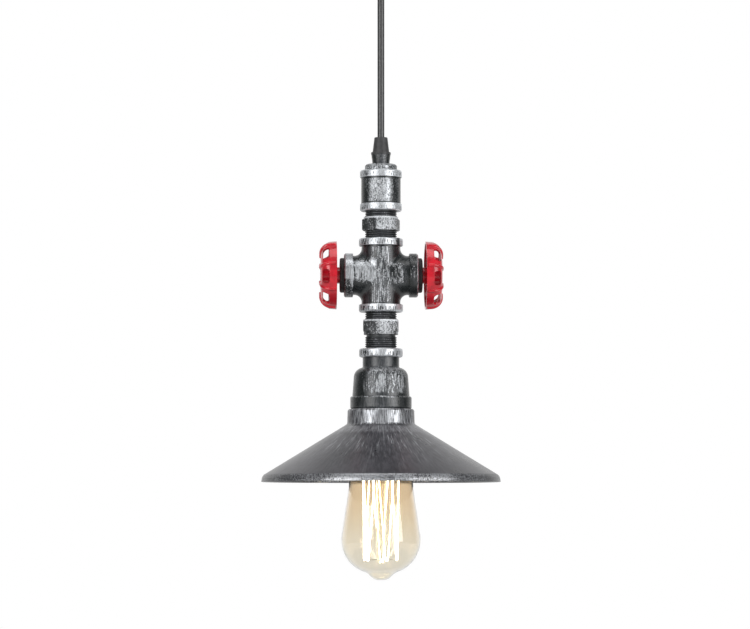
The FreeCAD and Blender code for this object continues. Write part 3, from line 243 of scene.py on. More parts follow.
class Graph(NodeTree):
    """The node tree of one material, with a Principled shader at its end."""

    def __init__(self, name: str) -> None:
        """Make the material.

        Args:
            name: The material's name.
        """
        self.material = bpy.data.materials.new(name)
        self.material.use_nodes = True
        super().__init__(self.material.node_tree)
        self.shader = self.add("ShaderNodeBsdfPrincipled", {}, {})
        self.surface = Signal(self, self.shader.outputs["BSDF"])
        self.output = self.add("ShaderNodeOutputMaterial", {}, {"Surface": self.surface})
        self.place = self.node("ShaderNodeTexCoord", {}, {}, "Object")

    def dress(self, **values: Any) -> None:
        """Set inputs of the Principled shader, named with underscores for spaces."""
        for key, value in values.items():
            self.feed(self.shader.inputs[key.replace("_", " ")], value)

    def axes(self) -> tuple[Signal, Signal, Signal]:
        """Return the x, y and z of the surface, in millimetres in the lamp's frame."""
        return tuple(axis / MM for axis in self.split(self.place))

    def spot(self, x: Any, y: Any, z: Any) -> Signal:
        """Join three values into a vector."""
        return self.node("ShaderNodeCombineXYZ", {}, {"X": x, "Y": y, "Z": z})

    def noise(self, where: Signal, scale: float, detail: float, rough: float) -> Signal:
        """Return fractal noise about 0.5, of so many octaves, each finer one with the rough share."""
        values = {"Vector": where, "Scale": scale, "Detail": detail, "Roughness": rough}
        return self.node("ShaderNodeTexNoise", {}, values)

    def blend(self, amount: Any, first: Any, second: Any) -> Signal:
        """Mix two colours.

        Args:
            amount: 0 for the first, 1 for the second.
            first: A colour or a signal.
            second: A colour or a signal.

        Returns:
            The mixed colour.
        """
        settings = {"data_type": "RGBA"}
        values = {0: amount, 6: first, 7: second}
        return self.node("ShaderNodeMix", settings, values, 2)

    def bump(self, height: Signal, depth: float) -> None:
        """Give the surface a relief, whose height of 1 stands for the depth in metres."""
        values = {"Height": height, "Distance": depth, "Strength": 1.0}
        self.dress(Normal=self.node("ShaderNodeBump", {}, values, "Normal"))


@dataclass(frozen=True)
class Grain:
    """One fractal noise of a finish, whose scale is per millimetre."""

    scale: float
    detail: float = 3.0
    rough: float = 0.55
    upright: float | None = None

    def over(self, g: Graph, x: Signal, y: Signal, z: Signal) -> Signal:
        """Return the noise over three values.

        Args:
            g: The material that it is for.
            x: The first value.
            y: The second value.
            z: The third value, which is drawn out where upright is below 1.

        Returns:
            The noise, about 0.5.
        """
        if self.upright is not None:
            z = z * self.upright
        return g.noise(g.spot(x, y, z), self.scale, self.detail, self.rough)


@dataclass(frozen=True)
class Finish:
    """A surface that can be put on any piece."""

    name: str

    def graph(self) -> Graph:
        """Build the material's nodes."""
        raise NotImplementedError

    def material(self) -> bpy.types.Material:
        """Return the finished material."""
        return self.graph().material


@dataclass(frozen=True)
class Patch:
    """A part of a fitting, in millimetres, where the silver lies thicker or, below 0, thinner; some
    thinner parts are painted shade.
    """

    gain: float
    foot: float | None = None
    top: float | None = None
    left: float | None = None
    right: float | None = None
    outside: float | None = None
    soft: float = 0.6
    notched: bool = False

    def weight(self, x: Signal, z: Signal, radius: Signal) -> Signal:
        """Return the patch's weight over the surface.

        Args:
            x: How far right the surface is.
            z: How high it is.
            radius: How far it is from the lamp's axis.

        Returns:
            The gain inside the patch and 0 outside it.
        """
        weight: Any = self.gain
        edges = (
            (z, self.foot, 1),
            (z, self.top, -1),
            (x, self.left, 1),
            (x, self.right, -1),
            (radius, self.outside, 1),
        )
        for value, edge, way in edges:
            if edge is not None:
                weight = value.ramp(edge - way * self.soft, edge + way * self.soft) * weight
        return weight


@dataclass(frozen=True)
class DryBrushed(Finish):
    """Black cast iron, dry-brushed with silver paint along upright strokes.

    The fields down to the roughness differ from fitting to fitting.
    """

    paint: float = 0.3
    # How much thicker the silver lies at the front and back, partly as painted highlight
    front: float = 0.2
    patches: tuple[Patch, ...] = ()
    streak: float = 1.0
    stretch: float = 0.16
    grit: float = 1.2
    # How much grey film the black takes at the front and back, which is painted sheen
    haze_and_sheen: float = 0.42
    sharpness: float = 13.0
    metallic: float = 0.7
    roughness: float = 0.28
    paint_roughness: float = 0.08
    tone_roughness: float = 0.16
    specular: float = 0.6
    black: Colour = (0.008, 0.011, 0.0115)
    # The grey of that film: partly random clouds, partly painted sheen
    sheen_and_haze_grey: Colour = (0.128, 0.135, 0.147)
    dull_silver: Colour = (0.24, 0.25, 0.265)
    silver: Colour = (0.78, 0.81, 0.84)
    relief: float = 0.00025
    stroke_rough: float = 0.7
    broad: Grain = Grain(0.16, 2.0, 0.5, 0.4)
    speck: Grain = Grain(1.0, 2.0, 0.7)
    pits: Grain = Grain(1.1, 3.0, 0.65)
    notch: Grain = Grain(1.5, 1.0, 0.5, 0.1)
    notch_band: Band = (0.48, 0.6)
    cover_mix: tuple[float, ...] = (0.5, 0.3, 0.2)
    relief_mix: tuple[float, ...] = (0.35, 0.35, 0.3)
    tone_band: Band = (0.33, 0.67)
    tone_stretch: float = 1.6
    tone_gain: float = 0.8
    paint_gain: float = 0.46
    bare_level: float = 0.73
    shine_gain: float = 0.62
    shine_level: float = 0.28

    def thickness(self, g: Graph, x: Signal, y: Signal, z: Signal) -> Signal:
        """Return how thickly the silver lies, before it is broken up into strokes.

        Args:
            g: The material.
            x: How far right the surface is.
            y: How far back it is.
            z: How high it is.

        Returns:
            The thickness, which is below 0 where the iron is left bare.
        """
        square = x * x + y * y
        radius = square.root()
        notch = self.notch.over(g, x, y, z).ramp(*self.notch_band)
        # Thicker silver at the front and back is partly painted highlight, and leaves the sides darker as
        # painted shade
        paint = y * y / square * self.front + self.paint
        for patch in self.patches:
            weight = patch.weight(x, z, radius)
            paint = paint + (weight * notch if patch.notched else weight)
        return paint

    def graph(self) -> Graph:
        """Build the material's nodes.

        Returns:
            The material's graph.
        """
        g = Graph(self.name)
        x, y, z = g.axes()
        strokes = Grain(self.streak, rough=self.stroke_rough, upright=self.stretch).over(g, x, y, z)
        along = self.stretch * self.tone_stretch
        tone = Grain(self.grit, rough=self.stroke_rough, upright=along).over(g, x, y, z)
        tone = tone.ramp(*self.tone_band)
        broad = self.broad.over(g, x, y, z)
        facing = y * y / (x * x + y * y)
        paint = self.thickness(g, x, y, z)
        # Where patches take the silver below nothing, the black loses its painted sheen too, which deepens
        # the painted shade lines beside the beads
        bare = (paint * 2 + 1).clamped()
        paint = paint.clamped()
        cover = weighted(self.cover_mix, strokes, self.speck.over(g, x, y, z), broad)
        mask = (cover + paint * self.paint_gain).cut(self.bare_level, self.sharpness)
        # The black's grey film: random clouds plus painted sheen, strongest at the front and back, gone
        # where the silver is taken well below nothing
        haze_and_sheen = (facing * facing * self.haze_and_sheen + broad - MIDDLE).clamped() * bare
        under = g.blend(haze_and_sheen * (tone * self.tone_gain + MIDDLE), self.black, self.sheen_and_haze_grey)
        shine = (tone * self.tone_gain + paint * self.shine_gain - self.shine_level).clamped()
        over = g.blend(shine, self.dull_silver, self.silver)
        g.dress(
            Base_Color=g.blend(mask, under, over),
            Metallic=mask * self.metallic,
            Roughness=self.roughness
            + mask * self.paint_roughness
            + (tone - MIDDLE) * self.tone_roughness,
            Specular_IOR_Level=self.specular,
        )
        g.bump(weighted(self.relief_mix, self.pits.over(g, x, y, z), mask, strokes), self.relief)
        return g


@dataclass(frozen=True)
class BrushedShade(Finish):
    """Dark grey satin paint on spun steel, with scratches that run down from a silvered collar."""

    collar_foot: float = -408.7
    collar: float = 28.0
    mouth: float = -451.9
    foot: float = -457.0
    ring: float = 39.7
    grey: Colour = (0.027, 0.0265, 0.032)
    cloudy: Colour = (0.047, 0.046, 0.054)
    dragged: Colour = (0.2, 0.2, 0.215)
    dark: Colour = (0.012, 0.013, 0.014)
    dull_silver: Colour = (0.22, 0.225, 0.24)
    silver: Colour = (0.62, 0.64, 0.67)
    roughness: float = 0.3
    cloud_roughness: float = 0.16
    specular: float = 0.6
    relief: float = 0.00014
    stroke: Grain = Grain(0.8, 3.0, 0.65, 0.12)
    fine: Grain = Grain(2.6, 3.0, 0.65, 0.05)
    grain: Grain = Grain(1.7, 2.0, 0.6, 0.06)
    hair: Grain = Grain(1.5, 2.0, 0.6, 0.02)
    cloud: Grain = Grain(0.035)
    speck: Grain = Grain(0.9, 3.0, 0.75)
    cloud_band: Band = (0.38, 0.66)
    wander: float = 9.0
    near_reach: Band = (2.0, -1.5)
    near_band: Band = (0.36, 0.6)
    near_share: float = 0.8
    crease_reach: Band = (1.2, 0.0)
    drag_reach: Band = (66.0, 36.0)
    drag_band: Band = (0.52, 0.36)
    drag_share: float = 0.7
    ridge_reach: Band = (105.0, 45.0)
    ridge_band: Band = (0.45, 0.6)
    ridge_share: float = 0.22
    groove_band: Band = (0.48, 0.36)
    groove_share: float = 0.35
    scratch_reach: Band = (88.0, 36.0)
    scratch_band: Band = (0.57, 0.65)
    scratch_breaks: Band = (0.4, 0.55)
    scratch_share: float = 0.4
    scratch_front: float = 0.05
    fray_fine: float = 5.0
    fray_stroke: float = 4.0
    collar_reach: Band = (-0.5, 0.5)
    shadow_reach: Band = (-2.4, -0.8)
    shadow_share: float = 0.8
    brush_mix: tuple[float, ...] = (0.4, 0.6, 0.15)
    brush_level: float = 0.6
    brush_slope: float = 8.0
    streak_band: Band = (0.4, 0.62)
    front_power: float = 1.5
    rim_reach: Band = (1.4, 0.2)
    rim_side_shade: float = 0.85
    speck_mix: tuple[float, ...] = (0.8, 0.2, 0.1)
    speck_level: float = 0.56
    speck_slope: float = 9.0
    fleck_share: float = 0.22
    fleck_front: float = 0.28
    line_top: Band = (2.2, 1.5)
    line_foot: Band = (0.5, 0.9)
    line_front: float = 0.4
    metallic_mix: tuple[float, ...] = (0.6, 0.3, 0.4)
    relief_mix: tuple[float, ...] = (0.5, 0.3, -0.4)

    def graph(self) -> Graph:
        """Build the material's nodes, from the cone up to the collar and then down to the rim.

        Returns:
            The material's graph.
        """
        g = Graph(self.name)
        x, y, z = g.axes()
        radius = (x * x + y * y).root()
        around = (x / radius * self.collar, y / radius * self.collar, radius - z)
        # How squarely the surface faces front or back; the collar's silver, the scratches and the rim's
        # flecks lean on it, partly as painted highlight
        facing = around[1] * around[1] / (self.collar * self.collar)
        strokes = self.stroke.over(g, *around)
        fine = self.fine.over(g, *around)
        cloud = self.cloud.over(g, x, y, z)

        # The cone: cloudy paint, scratched along its slope, most of all near the collar
        body = g.blend(cloud.ramp(*self.cloud_band), self.grey, self.cloudy)
        edge = radius - self.ring + (strokes - MIDDLE) * self.wander
        near = edge.ramp(*self.near_reach) * fine.ramp(*self.near_band)
        body = g.blend(near * self.near_share, body, self.dragged)
        drag = radius.ramp(*self.drag_reach) * fine.ramp(*self.drag_band)
        body = g.blend(drag * self.drag_share, body, self.dark)
        grain = self.grain.over(g, *around)
        ridge = radius.ramp(*self.ridge_reach) * grain.ramp(*self.ridge_band)
        body = g.blend(ridge * self.ridge_share, body, self.dragged)
        body = g.blend(grain.ramp(*self.groove_band) * self.groove_share, body, self.dark)
        scratch = self.hair.over(g, *around).ramp(*self.scratch_band)
        scratch = scratch * fine.ramp(*self.scratch_breaks)
        upper = radius.ramp(*self.scratch_reach) * self.scratch_share
        scratch = scratch * (upper + facing * self.scratch_front)
        body = g.blend(scratch, body, self.silver)

        # The collar: silver strokes, fuller in front as partly painted highlight, that end raggedly over a
        # painted shadow line
        fray = (fine - MIDDLE) * self.fray_fine + (strokes - MIDDLE) * self.fray_stroke
        ragged = z - self.collar_foot + fray
        collar = ragged.ramp(*self.collar_reach)
        shadow = ragged.ramp(*self.shadow_reach) * (1 - collar)
        body = g.blend(shadow * self.shadow_share, body, self.dark)
        brushed = weighted(self.brush_mix, strokes, fine, facing).cut(self.brush_level, self.brush_slope)
        streaked = g.blend(fine.ramp(*self.streak_band), self.dull_silver, self.silver)
        body = g.blend(collar, body, g.blend(brushed, self.grey, streaked))

        # The rim: silver flecks, most of all in front, with a fine line at its foot; the front weighting
        # is partly painted highlight and the darker sides are painted shade
        centre = facing ** self.front_power
        rim = (z - self.mouth).ramp(*self.rim_reach)
        line = (z - self.foot).ramp(*self.line_top) * (z - self.foot).ramp(*self.line_foot)
        speckle = weighted(self.speck_mix, self.speck.over(g, x, y, z), cloud, centre)
        speckle = speckle.cut(self.speck_level, self.speck_slope)
        flecks = rim * speckle * (centre * self.fleck_front + self.fleck_share)
        flecks = flecks + line * speckle * centre * self.line_front
        # Painted shade: the rim darkens towards its sides
        body = g.blend(rim * (1 - centre) * self.rim_side_shade, body, self.dark)
        body = g.blend(flecks.clamped(), body, self.silver)

        crease = abs(edge).ramp(*self.crease_reach)
        g.dress(
            Base_Color=body,
            Metallic=weighted(self.metallic_mix, collar * brushed, scratch, flecks).clamped(),
            Roughness=self.roughness + (cloud - MIDDLE) * self.cloud_roughness,
            Specular_IOR_Level=self.specular,
        )
        g.bump(weighted(self.relief_mix, strokes, fine, crease), self.relief)
        return g


@dataclass(frozen=True)
class Enamel(Finish):
    """Glossy enamel on a casting."""

    colour: Colour = (0.6, 0.006, 0.02)
    shade: float = 0.74
    roughness: float = 0.34
    specular: float = 0.3
    coat: float = 0.7
    coat_roughness: float = 0.07
    relief: float = 0.0003
    cloud: Grain = Grain(0.13, 3.0, 0.5)
    cloud_band: Band = (0.35, 0.65)
    cloud_roughness: float = 0.1
    ripple: Grain = Grain(0.26, 2.0, 0.5)

    def graph(self) -> Graph:
        """Build the material's nodes.

        Returns:
            The material's graph.
        """
        g = Graph(self.name)
        x, y, z = g.axes()
        cloud = self.cloud.over(g, x, y, z)
        darker = tuple(c * self.shade for c in self.colour)
        g.dress(
            Base_Color=g.blend(cloud.ramp(*self.cloud_band), darker, self.colour),
            Roughness=self.roughness + (cloud - MIDDLE) * self.cloud_roughness,
            Specular_IOR_Level=self.specular,
            Coat_Weight=self.coat,
            Coat_Roughness=self.coat_roughness,
        )
        g.bump(self.ripple.over(g, x, y, z), self.relief)
        return g


@dataclass(frozen=True)
class Plain(Finish):
    """An even finish with a little cloudiness and grain."""

    colour: Colour = (0.1, 0.1, 0.1)
    roughness: float = 0.5
    metallic: float = 0.0
    cloud: float = 0.15
    scale: float = 0.22
    rough: float = 0.6
    relief: float = 0.00006
    specular: float = 0.5
    finer: float = 6.0
    cloud_band: Band = (0.3, 0.7)
    cloud_roughness: float = 0.15

    def graph(self) -> Graph:
        """Build the material's nodes.

        Returns:
            The material's graph.
        """
        g = Graph(self.name)
        x, y, z = g.axes()
        cloud = Grain(self.scale, rough=self.rough).over(g, x, y, z)
        low = tuple(c * (1 - self.cloud) for c in self.colour)
        high = tuple(c * (1 + self.cloud) for c in self.colour)
        g.dress(
            Base_Color=g.blend(cloud.ramp(*self.cloud_band), low, high),
            Roughness=self.roughness + (cloud - MIDDLE) * self.cloud_roughness,
            Metallic=self.metallic,
            Specular_IOR_Level=self.specular,
        )
        g.bump(Grain(self.scale * self.finer, 2.0, self.rough).over(g, x, y, z), self.relief)
        return g


@dataclass(frozen=True)
class TintedGlass(Finish):
    """Blown glass, tinted more deeply towards its neck and paled by painted glare where it is seen edge
    on.
    """

    neck: Colour = (0.87, 0.76, 0.605)
    foot: Colour = (0.886, 0.85, 0.763)
    edge: Colour = (0.97, 0.97, 0.96)
    neck_level: float = -465.0
    foot_level: float = -525.0
    waves: Grain = Grain(0.045, 2.0, 0.4)
    wave_height: float = 12.0
    edge_blend: float = 0.35
    edge_band: Band = (0.35, 0.85)
    edge_share: float = 0.8
    roughness: float = 0.08
    index: float = 1.3
    coat: float = 0.6
    coat_roughness: float = 0.03

    def graph(self) -> Graph:
        """Build the material's nodes.

        Returns:
            The material's graph.
        """
        g = Graph(self.name)
        x, y, z = g.axes()
        level = z + (self.waves.over(g, x, y, z) - MIDDLE) * self.wave_height
        tint = g.blend(level.ramp(self.foot_level, self.neck_level), self.foot, self.neck)
        # Painted glare: the tint turns near white where the glass is seen edge on
        seen = g.node("ShaderNodeLayerWeight", {}, {"Blend": self.edge_blend}, "Facing")
        g.dress(
            Base_Color=g.blend(seen.ramp(*self.edge_band) * self.edge_share, tint, self.edge),
            Roughness=self.roughness,
            IOR=self.index,
            Transmission_Weight=1.0,
            Coat_Weight=self.coat,
            Coat_Roughness=self.coat_roughness,
        )
        return g


@dataclass(frozen=True)
class Glowing(Finish):
    """Wire hot enough to shine."""

    colour: Colour = (1.0, 0.93, 0.76)
    strength: float = 20.0
    dimmer: float = 0.85
    flicker: Grain = Grain(0.3, 2.0, 0.5)

    def graph(self) -> Graph:
        """Build the material's nodes.

        Returns:
            The material's graph.
        """
        g = Graph(self.name)
        flicker = self.flicker.over(g, *g.axes())
        dim = tuple(c * self.dimmer for c in self.colour)
        g.dress(
            Base_Color=self.colour,
            Emission_Color=g.blend(flicker, dim, self.colour),
            Emission_Strength=self.strength,
        )
        return g


def dress(finish: Finish, names: Iterable[str]) -> None:
    """Put one finish on several CAD nodes.

    Args:
        finish: The finish.
        names: The nodes.
    """
    material = finish.material()
    for name in names:
        node = NODES[name]
        node.data.materials.clear()
        node.data.materials.append(material)
        LOG.info("%s is %s", name, finish.name)


def span(node: str) -> tuple[float, float]:
    """Return a CAD node's lowest and highest level, in millimetres."""
    low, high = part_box(node)
    return low[2] / MM, high[2] / MM


@dataclass
class FlexCord:
    """The round flex that carries the lamp, and its fixed tail in the canopy, in metres."""

    diameter: float = 5.8 * MM
    tip_share: float = 0.12
    bends: tuple[float, ...] = (-85 * MM, -125 * MM, -165 * MM)
    order: int = 3
    facets: int = 6
    steps: int = 12
    sheath: Plain = Plain("black_sheath", (0.007, 0.007, 0.008), 0.38, scale=0.16, specular=1.0)

    def build(self, top: float, end: float) -> bpy.types.Object:
        """Draw the taut flex as one straight curve, with a round upper end that turns in the grip.

        Args:
            top: The level of its upper end.
            end: The level of its lower end.

        Returns:
            The flex.
        """
        curve = bpy.data.curves.new("flex", "CURVE")
        curve.dimensions = "3D"
        curve.bevel_depth = self.diameter / 2
        curve.bevel_resolution = self.facets
        curve.use_fill_caps = True
        line = curve.splines.new("NURBS")
        levels = (top, top, top - self.diameter, *self.bends, end)
        line.points.add(len(levels) - 1)
        for point, level in zip(line.points, levels):
            point.co = (0.0, 0.0, level, 1.0)
        line.points[0].radius = self.tip_share
        line.order_u = self.order
        line.use_endpoint_u = True
        line.resolution_u = self.steps
        piece = bpy.data.objects.new("flex", curve)
        bpy.context.scene.collection.objects.link(piece)
        return piece

    def make(self) -> None:
        end, top = (level * MM for level in span("flex_cord"))
        flex = self.build(top, end)
        flex.data.materials.append(self.sheath.material())
        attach(flex, "flex")
        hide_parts("flex_cord")
        dress(self.sheath, ["flex_tail"])
        LOG.info("flex is %.0f mm long", (top - end) / MM)


@dataclass
class Canopy:
    """The ceiling cup with all that it covers."""

    black: Plain = Plain("canopy_black", (0.03, 0.03, 0.032), 0.4)
    cap_nut: Plain = Plain("black_cap_nut", (0.03, 0.03, 0.03), 0.3)
    zinc: Plain = Plain("zinc_plate", (0.62, 0.63, 0.62), 0.34, 0.9, 0.12, 0.3)
    nylon: Plain = Plain("nylon", (0.8, 0.8, 0.76), 0.5)
    screw: Plain = Plain("block_screw_steel", (0.6, 0.58, 0.5), 0.35, 0.9)

    def make(self) -> None:
        """Dress the cup and its fixings."""
        dress(self.black, ["canopy_cup"])
        dress(self.cap_nut, ["canopy_ball_nuts"])
        plated = ["ceiling_crossbar", "canopy_studs", "stud_lock_nuts", "earth_screw", "canopy_grip_nut"]
        dress(self.zinc, plated)
        dress(self.nylon, ["terminal_block"])
        dress(self.screw, ["terminal_block_screws"])


@dataclass
class CordGrips:
    """The two plastic cord grips, with a trace of silver on their bodies."""

    cap: Plain = Plain("grip_cap_plastic", (0.04, 0.04, 0.042), 0.5, cloud=0.25, scale=0.3)
    body: DryBrushed = DryBrushed("grip_body_brushed", paint=0.2, front=0.1)
    rubber: Plain = Plain("grip_rubber", (0.02, 0.02, 0.02), 0.7)
    nut: Plain = Plain("grip_nut_steel", (0.6, 0.6, 0.6), 0.35, 0.9)

    def make(self) -> None:
        """Dress both grips."""
        dress(self.cap, ["lamp_grip_cap", "canopy_grip_cap"])
        dress(self.body, ["lamp_grip_body", "canopy_grip_body"])
        dress(self.rubber, ["lamp_grip_collet", "canopy_grip_collet"])
        dress(self.nut, ["lamp_grip_nut"])


@dataclass
class PipeColumn:
    """The column of fittings from the plug down to the bell, in millimetres."""

    coupling_bead: float = 6.2
    upper_thread: float = 5.0
    upper_hex: float = 11.5
    cross_bead: float = 6.4
    side_bead: float = 7.4
    lower_thread: float = 6.5
    lower_hex: float = 12.4
    crest: float = 13.0
    bell_bead: float = 7.3
    bell_neck: float = 8.6
    bell_rim: float = 10.4

    def bead(self, foot: float, top: float, gain: float = 0.75) -> tuple[Patch, ...]:
        """Paint a raised band, with notches in its lower half and painted shade at its left end.

        Args:
            foot: The band's lower edge.
            top: Its upper edge.
            gain: How much more silver it holds.

        Returns:
            Its patches.
        """
        middle = (foot + top) / 2
        return (
            Patch(gain, foot=foot, top=top, soft=0.3),
            Patch(-0.5, foot=foot + 0.6, top=middle + 1.2, soft=0.6, notched=True),
            # Painted shade: the left end of the band is darker
            Patch(-0.3, foot=foot, top=top, right=-11.5, soft=2.0),
        )

    def coupling(self) -> DryBrushed:
        """Paint both beads, painted shade lines beside them and a mottled patch between them.

        Returns:
            The coupling's finish.
        """
        foot, top = span("coupling")
        lower, upper = foot + self.coupling_bead, top - self.coupling_bead
        patches = self.bead(foot, lower) + self.bead(upper, top) + (
            # Painted shadow under the upper bead, and painted shade along the top of the lower bead
            Patch(-0.8, foot=upper - 1.3, top=upper, soft=0.3),
            Patch(-0.7, foot=lower, top=lower + 0.9, soft=0.3),
            Patch(0.26, foot=lower, top=upper, left=-10.5, right=9.0, soft=3.0),
        )
        return DryBrushed(
            "coupling_brushed", 0.16, 0.16, patches, streak=1.3, stretch=0.35, grit=1.5, sharpness=8.0
        )

    def nipple(self, node: str, top: float, thread: float, hexagon: float) -> DryBrushed:
        """Leave the threads black and paint the hexagon.

        Args:
            node: The nipple's node.
            top: Where its upper thread comes out of the fitting above.
            thread: How much of that thread shows.
            hexagon: The height of the hexagon with its collar.

        Returns:
            The finish.
        """
        upper = top - thread
        foot = upper - hexagon
        patches = (
            Patch(0.3, outside=self.crest, soft=0.15),
            Patch(0.22, foot=foot, top=upper, soft=0.3),
            # The hexagon's left face is darker: partly thinner silver, partly painted shade
            Patch(-0.17, foot=foot, top=upper, right=-4.6, soft=0.8),
            Patch(0.35, foot=upper - 1.5, top=upper, soft=0.3),
        )
        return DryBrushed(
            f"{node}_brushed", -0.04, 0.08, patches, streak=0.8, stretch=0.6, metallic=0.3, roughness=0.45
        )

    def cross(self) -> DryBrushed:
        """Paint the beads, the column's front and the upper sides of the arms.

        Returns:
            The cross's finish.
        """
        foot, top = span("cross_fitting")
        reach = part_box("cross_fitting")[1][0] / MM
        middle = (foot + top) / 2
        collar = reach - self.side_bead
        patches = self.bead(foot, foot + self.cross_bead) + self.bead(top - self.cross_bead, top) + (
            # Painted shadow under the top bead
            Patch(-0.7, foot=top - self.cross_bead - 1.2, top=top - self.cross_bead, soft=0.3),
            Patch(-0.5, foot=top - self.cross_bead, left=12.6, right=15.4, soft=0.5),
            Patch(0.3, foot=foot + self.cross_bead, top=top - self.cross_bead, left=-9, right=8, soft=2.2),
            Patch(0.44, foot=middle - 7, top=middle + 13, left=-collar, right=-7, soft=4.5),
            Patch(0.12, foot=middle + 1, top=middle + 12, left=-30, right=-14, soft=2.0),
            Patch(0.3, foot=middle - 8, top=middle + 11, left=8, right=19, soft=2.2),
            Patch(0.45, foot=middle - 4, top=middle + 19, right=-collar, soft=0.8),
            Patch(0.3, foot=middle - 19, top=middle - 4, right=-collar, soft=1.0),
            Patch(0.2, left=collar, foot=middle - 4, soft=0.8),
            Patch(0.5, left=reach - 1.2, soft=0.4),
        )
        return DryBrushed("cross_brushed", 0.13, 0.0, patches, stretch=0.07, haze_and_sheen=0.3, sharpness=15.0)

    def bell(self) -> DryBrushed:
        """Paint the bead and the body, and leave the neck and the rim dark.

        Returns:
            The reducer's finish.
        """
        foot, top = span("bell_reducer")
        bead_foot = top - self.bell_bead
        shoulder = bead_foot - self.bell_neck
        rim = foot + self.bell_rim
        patches = self.bead(bead_foot, top) + (
            Patch(0.14, foot=rim + 2.0, top=shoulder + 0.4, soft=0.9),
            Patch(0.16, foot=rim + 2.0, top=shoulder + 0.4, left=-10.5, right=20.0, soft=2.5),
            Patch(-0.2, foot=rim, top=rim + 1.6, soft=0.4),
            Patch(0.3, foot=rim - 1.6, top=rim, soft=0.4),
        )
        return DryBrushed("bell_brushed", 0.1, 0.1, patches, streak=0.8, stretch=0.09)

    def make(self) -> None:
        """Dress each fitting with its own share of silver."""
        dress(DryBrushed("plug_brushed", 0.42, 0.12, stretch=0.5), ["top_plug"])
        dress(self.coupling(), ["coupling"])
        upper = self.nipple("upper_nipple", span("coupling")[0], self.upper_thread, self.upper_hex)
        dress(upper, ["upper_nipple"])
        dress(self.cross(), ["cross_fitting"])
        lower = self.nipple("lower_nipple", span("cross_fitting")[0], self.lower_thread, self.lower_hex)
        dress(lower, ["lower_nipple"])
        dress(self.bell(), ["bell_reducer"])


@dataclass
class SideFittings:
    """The end plugs and handwheels."""

    matt: Plain = Plain("plug_black", (0.022, 0.022, 0.023), 0.6, cloud=0.3)
    red: Enamel = Enamel("red_enamel")
    steel: Plain = Plain("spindle_steel", (0.55, 0.55, 0.55), 0.35, 0.9)

    def make(self) -> None:
        """Dress both sides."""
        dress(self.matt, [f"{side.value}_end_plug" for side in Side])
        dress(self.red, [f"{side.value}_handwheel" for side in Side])
        parts = ("spindle", "wheel_washer", "wheel_nut")
        dress(self.steel, [f"{side.value}_{part}" for side in Side for part in parts])


@dataclass
class ShadeGroup:
    """The shade with its clamp ring and gasket."""

    paint: BrushedShade = BrushedShade("brushed_shade")
    black: Plain = Plain("clamp_black", (0.03, 0.03, 0.03), 0.45)
    rubber: Plain = Plain("gasket_rubber", (0.02, 0.02, 0.02), 0.8)

    def make(self) -> None:
        """Dress the shade and what holds it."""
        dress(self.paint, ["shade"])
        dress(self.black, ["shade_clamp_ring"])
        dress(self.rubber, ["shade_gasket"])


@dataclass
class Lampholder:
    """The porcelain holder and its metal parts, with the wires of the lamp and the canopy."""

    porcelain: Plain = Plain("porcelain", (0.82, 0.8, 0.74), 0.18, cloud=0.05)
    brass: Plain = Plain("brass", (0.78, 0.6, 0.3), 0.3, 1.0)
    zinc: Plain = Plain("bracket_zinc", (0.6, 0.6, 0.6), 0.35, 0.9)
    sleeves: tuple[tuple[Core, Colour], ...] = (
        (Core.LIVE, (0.2, 0.09, 0.04)),
        (Core.NEUTRAL, (0.04, 0.12, 0.5)),
        (Core.EARTH, (0.3, 0.5, 0.06)),
    )
    sleeve_roughness: float = 0.45

    def make(self) -> None:
        """Dress the holder and the wires."""
        dress(self.porcelain, ["lampholder_body"])
        dress(self.brass, ["lampholder_shell", "lampholder_contact", "lampholder_terminals"])
        dress(self.zinc, ["lampholder_bracket", "lampholder_screws"])
        for core, colour in self.sleeves:
            name = core.value
            sleeve = Plain(f"{name}_insulation", colour, self.sleeve_roughness)
            dress(sleeve, [f"{name}_core", f"canopy_{name}_core"])


@dataclass(frozen=True)
class Corner:
    """A corner of a blown outline, in millimetres, with the radius of its round."""

    radius: float
    level: float
    bend: float = 0.0

    def place(self) -> Vector:
        """Return the corner as a point of the outline."""
        return Vector((self.radius, self.level))

    def raised(self, rise: float) -> "Corner":
        """Return the corner at another level."""
        return replace(self, level=self.level + rise)

    def rounded(self, before: "Corner", after: "Corner", step: float) -> list[Vector]:
        """Round the corner.

        Args:
            before: The corner before it.
            after: The corner after it.
            step: The largest angle between two points of the round.

        Returns:
            The points of the round, in order.
        """
        corner = self.place()
        inward = (before.place() - corner).normalized()
        onward = (after.place() - corner).normalized()
        half = inward.angle(onward) / 2
        middle = corner + (inward + onward).normalized() * (self.bend / math.sin(half))
        reach = self.bend / math.tan(half)
        start = corner + inward * reach - middle
        end = corner + onward * reach - middle
        sweep = start.angle_signed(end)
        steps = max(2, math.ceil(abs(sweep) / step))
        points = []
        for number in range(steps + 1):
            angle = -sweep * number / steps
            wide = start.x * math.cos(angle) - start.y * math.sin(angle)
            high = start.x * math.sin(angle) + start.y * math.cos(angle)
            points.append(middle + Vector((wide, high)))
        return points


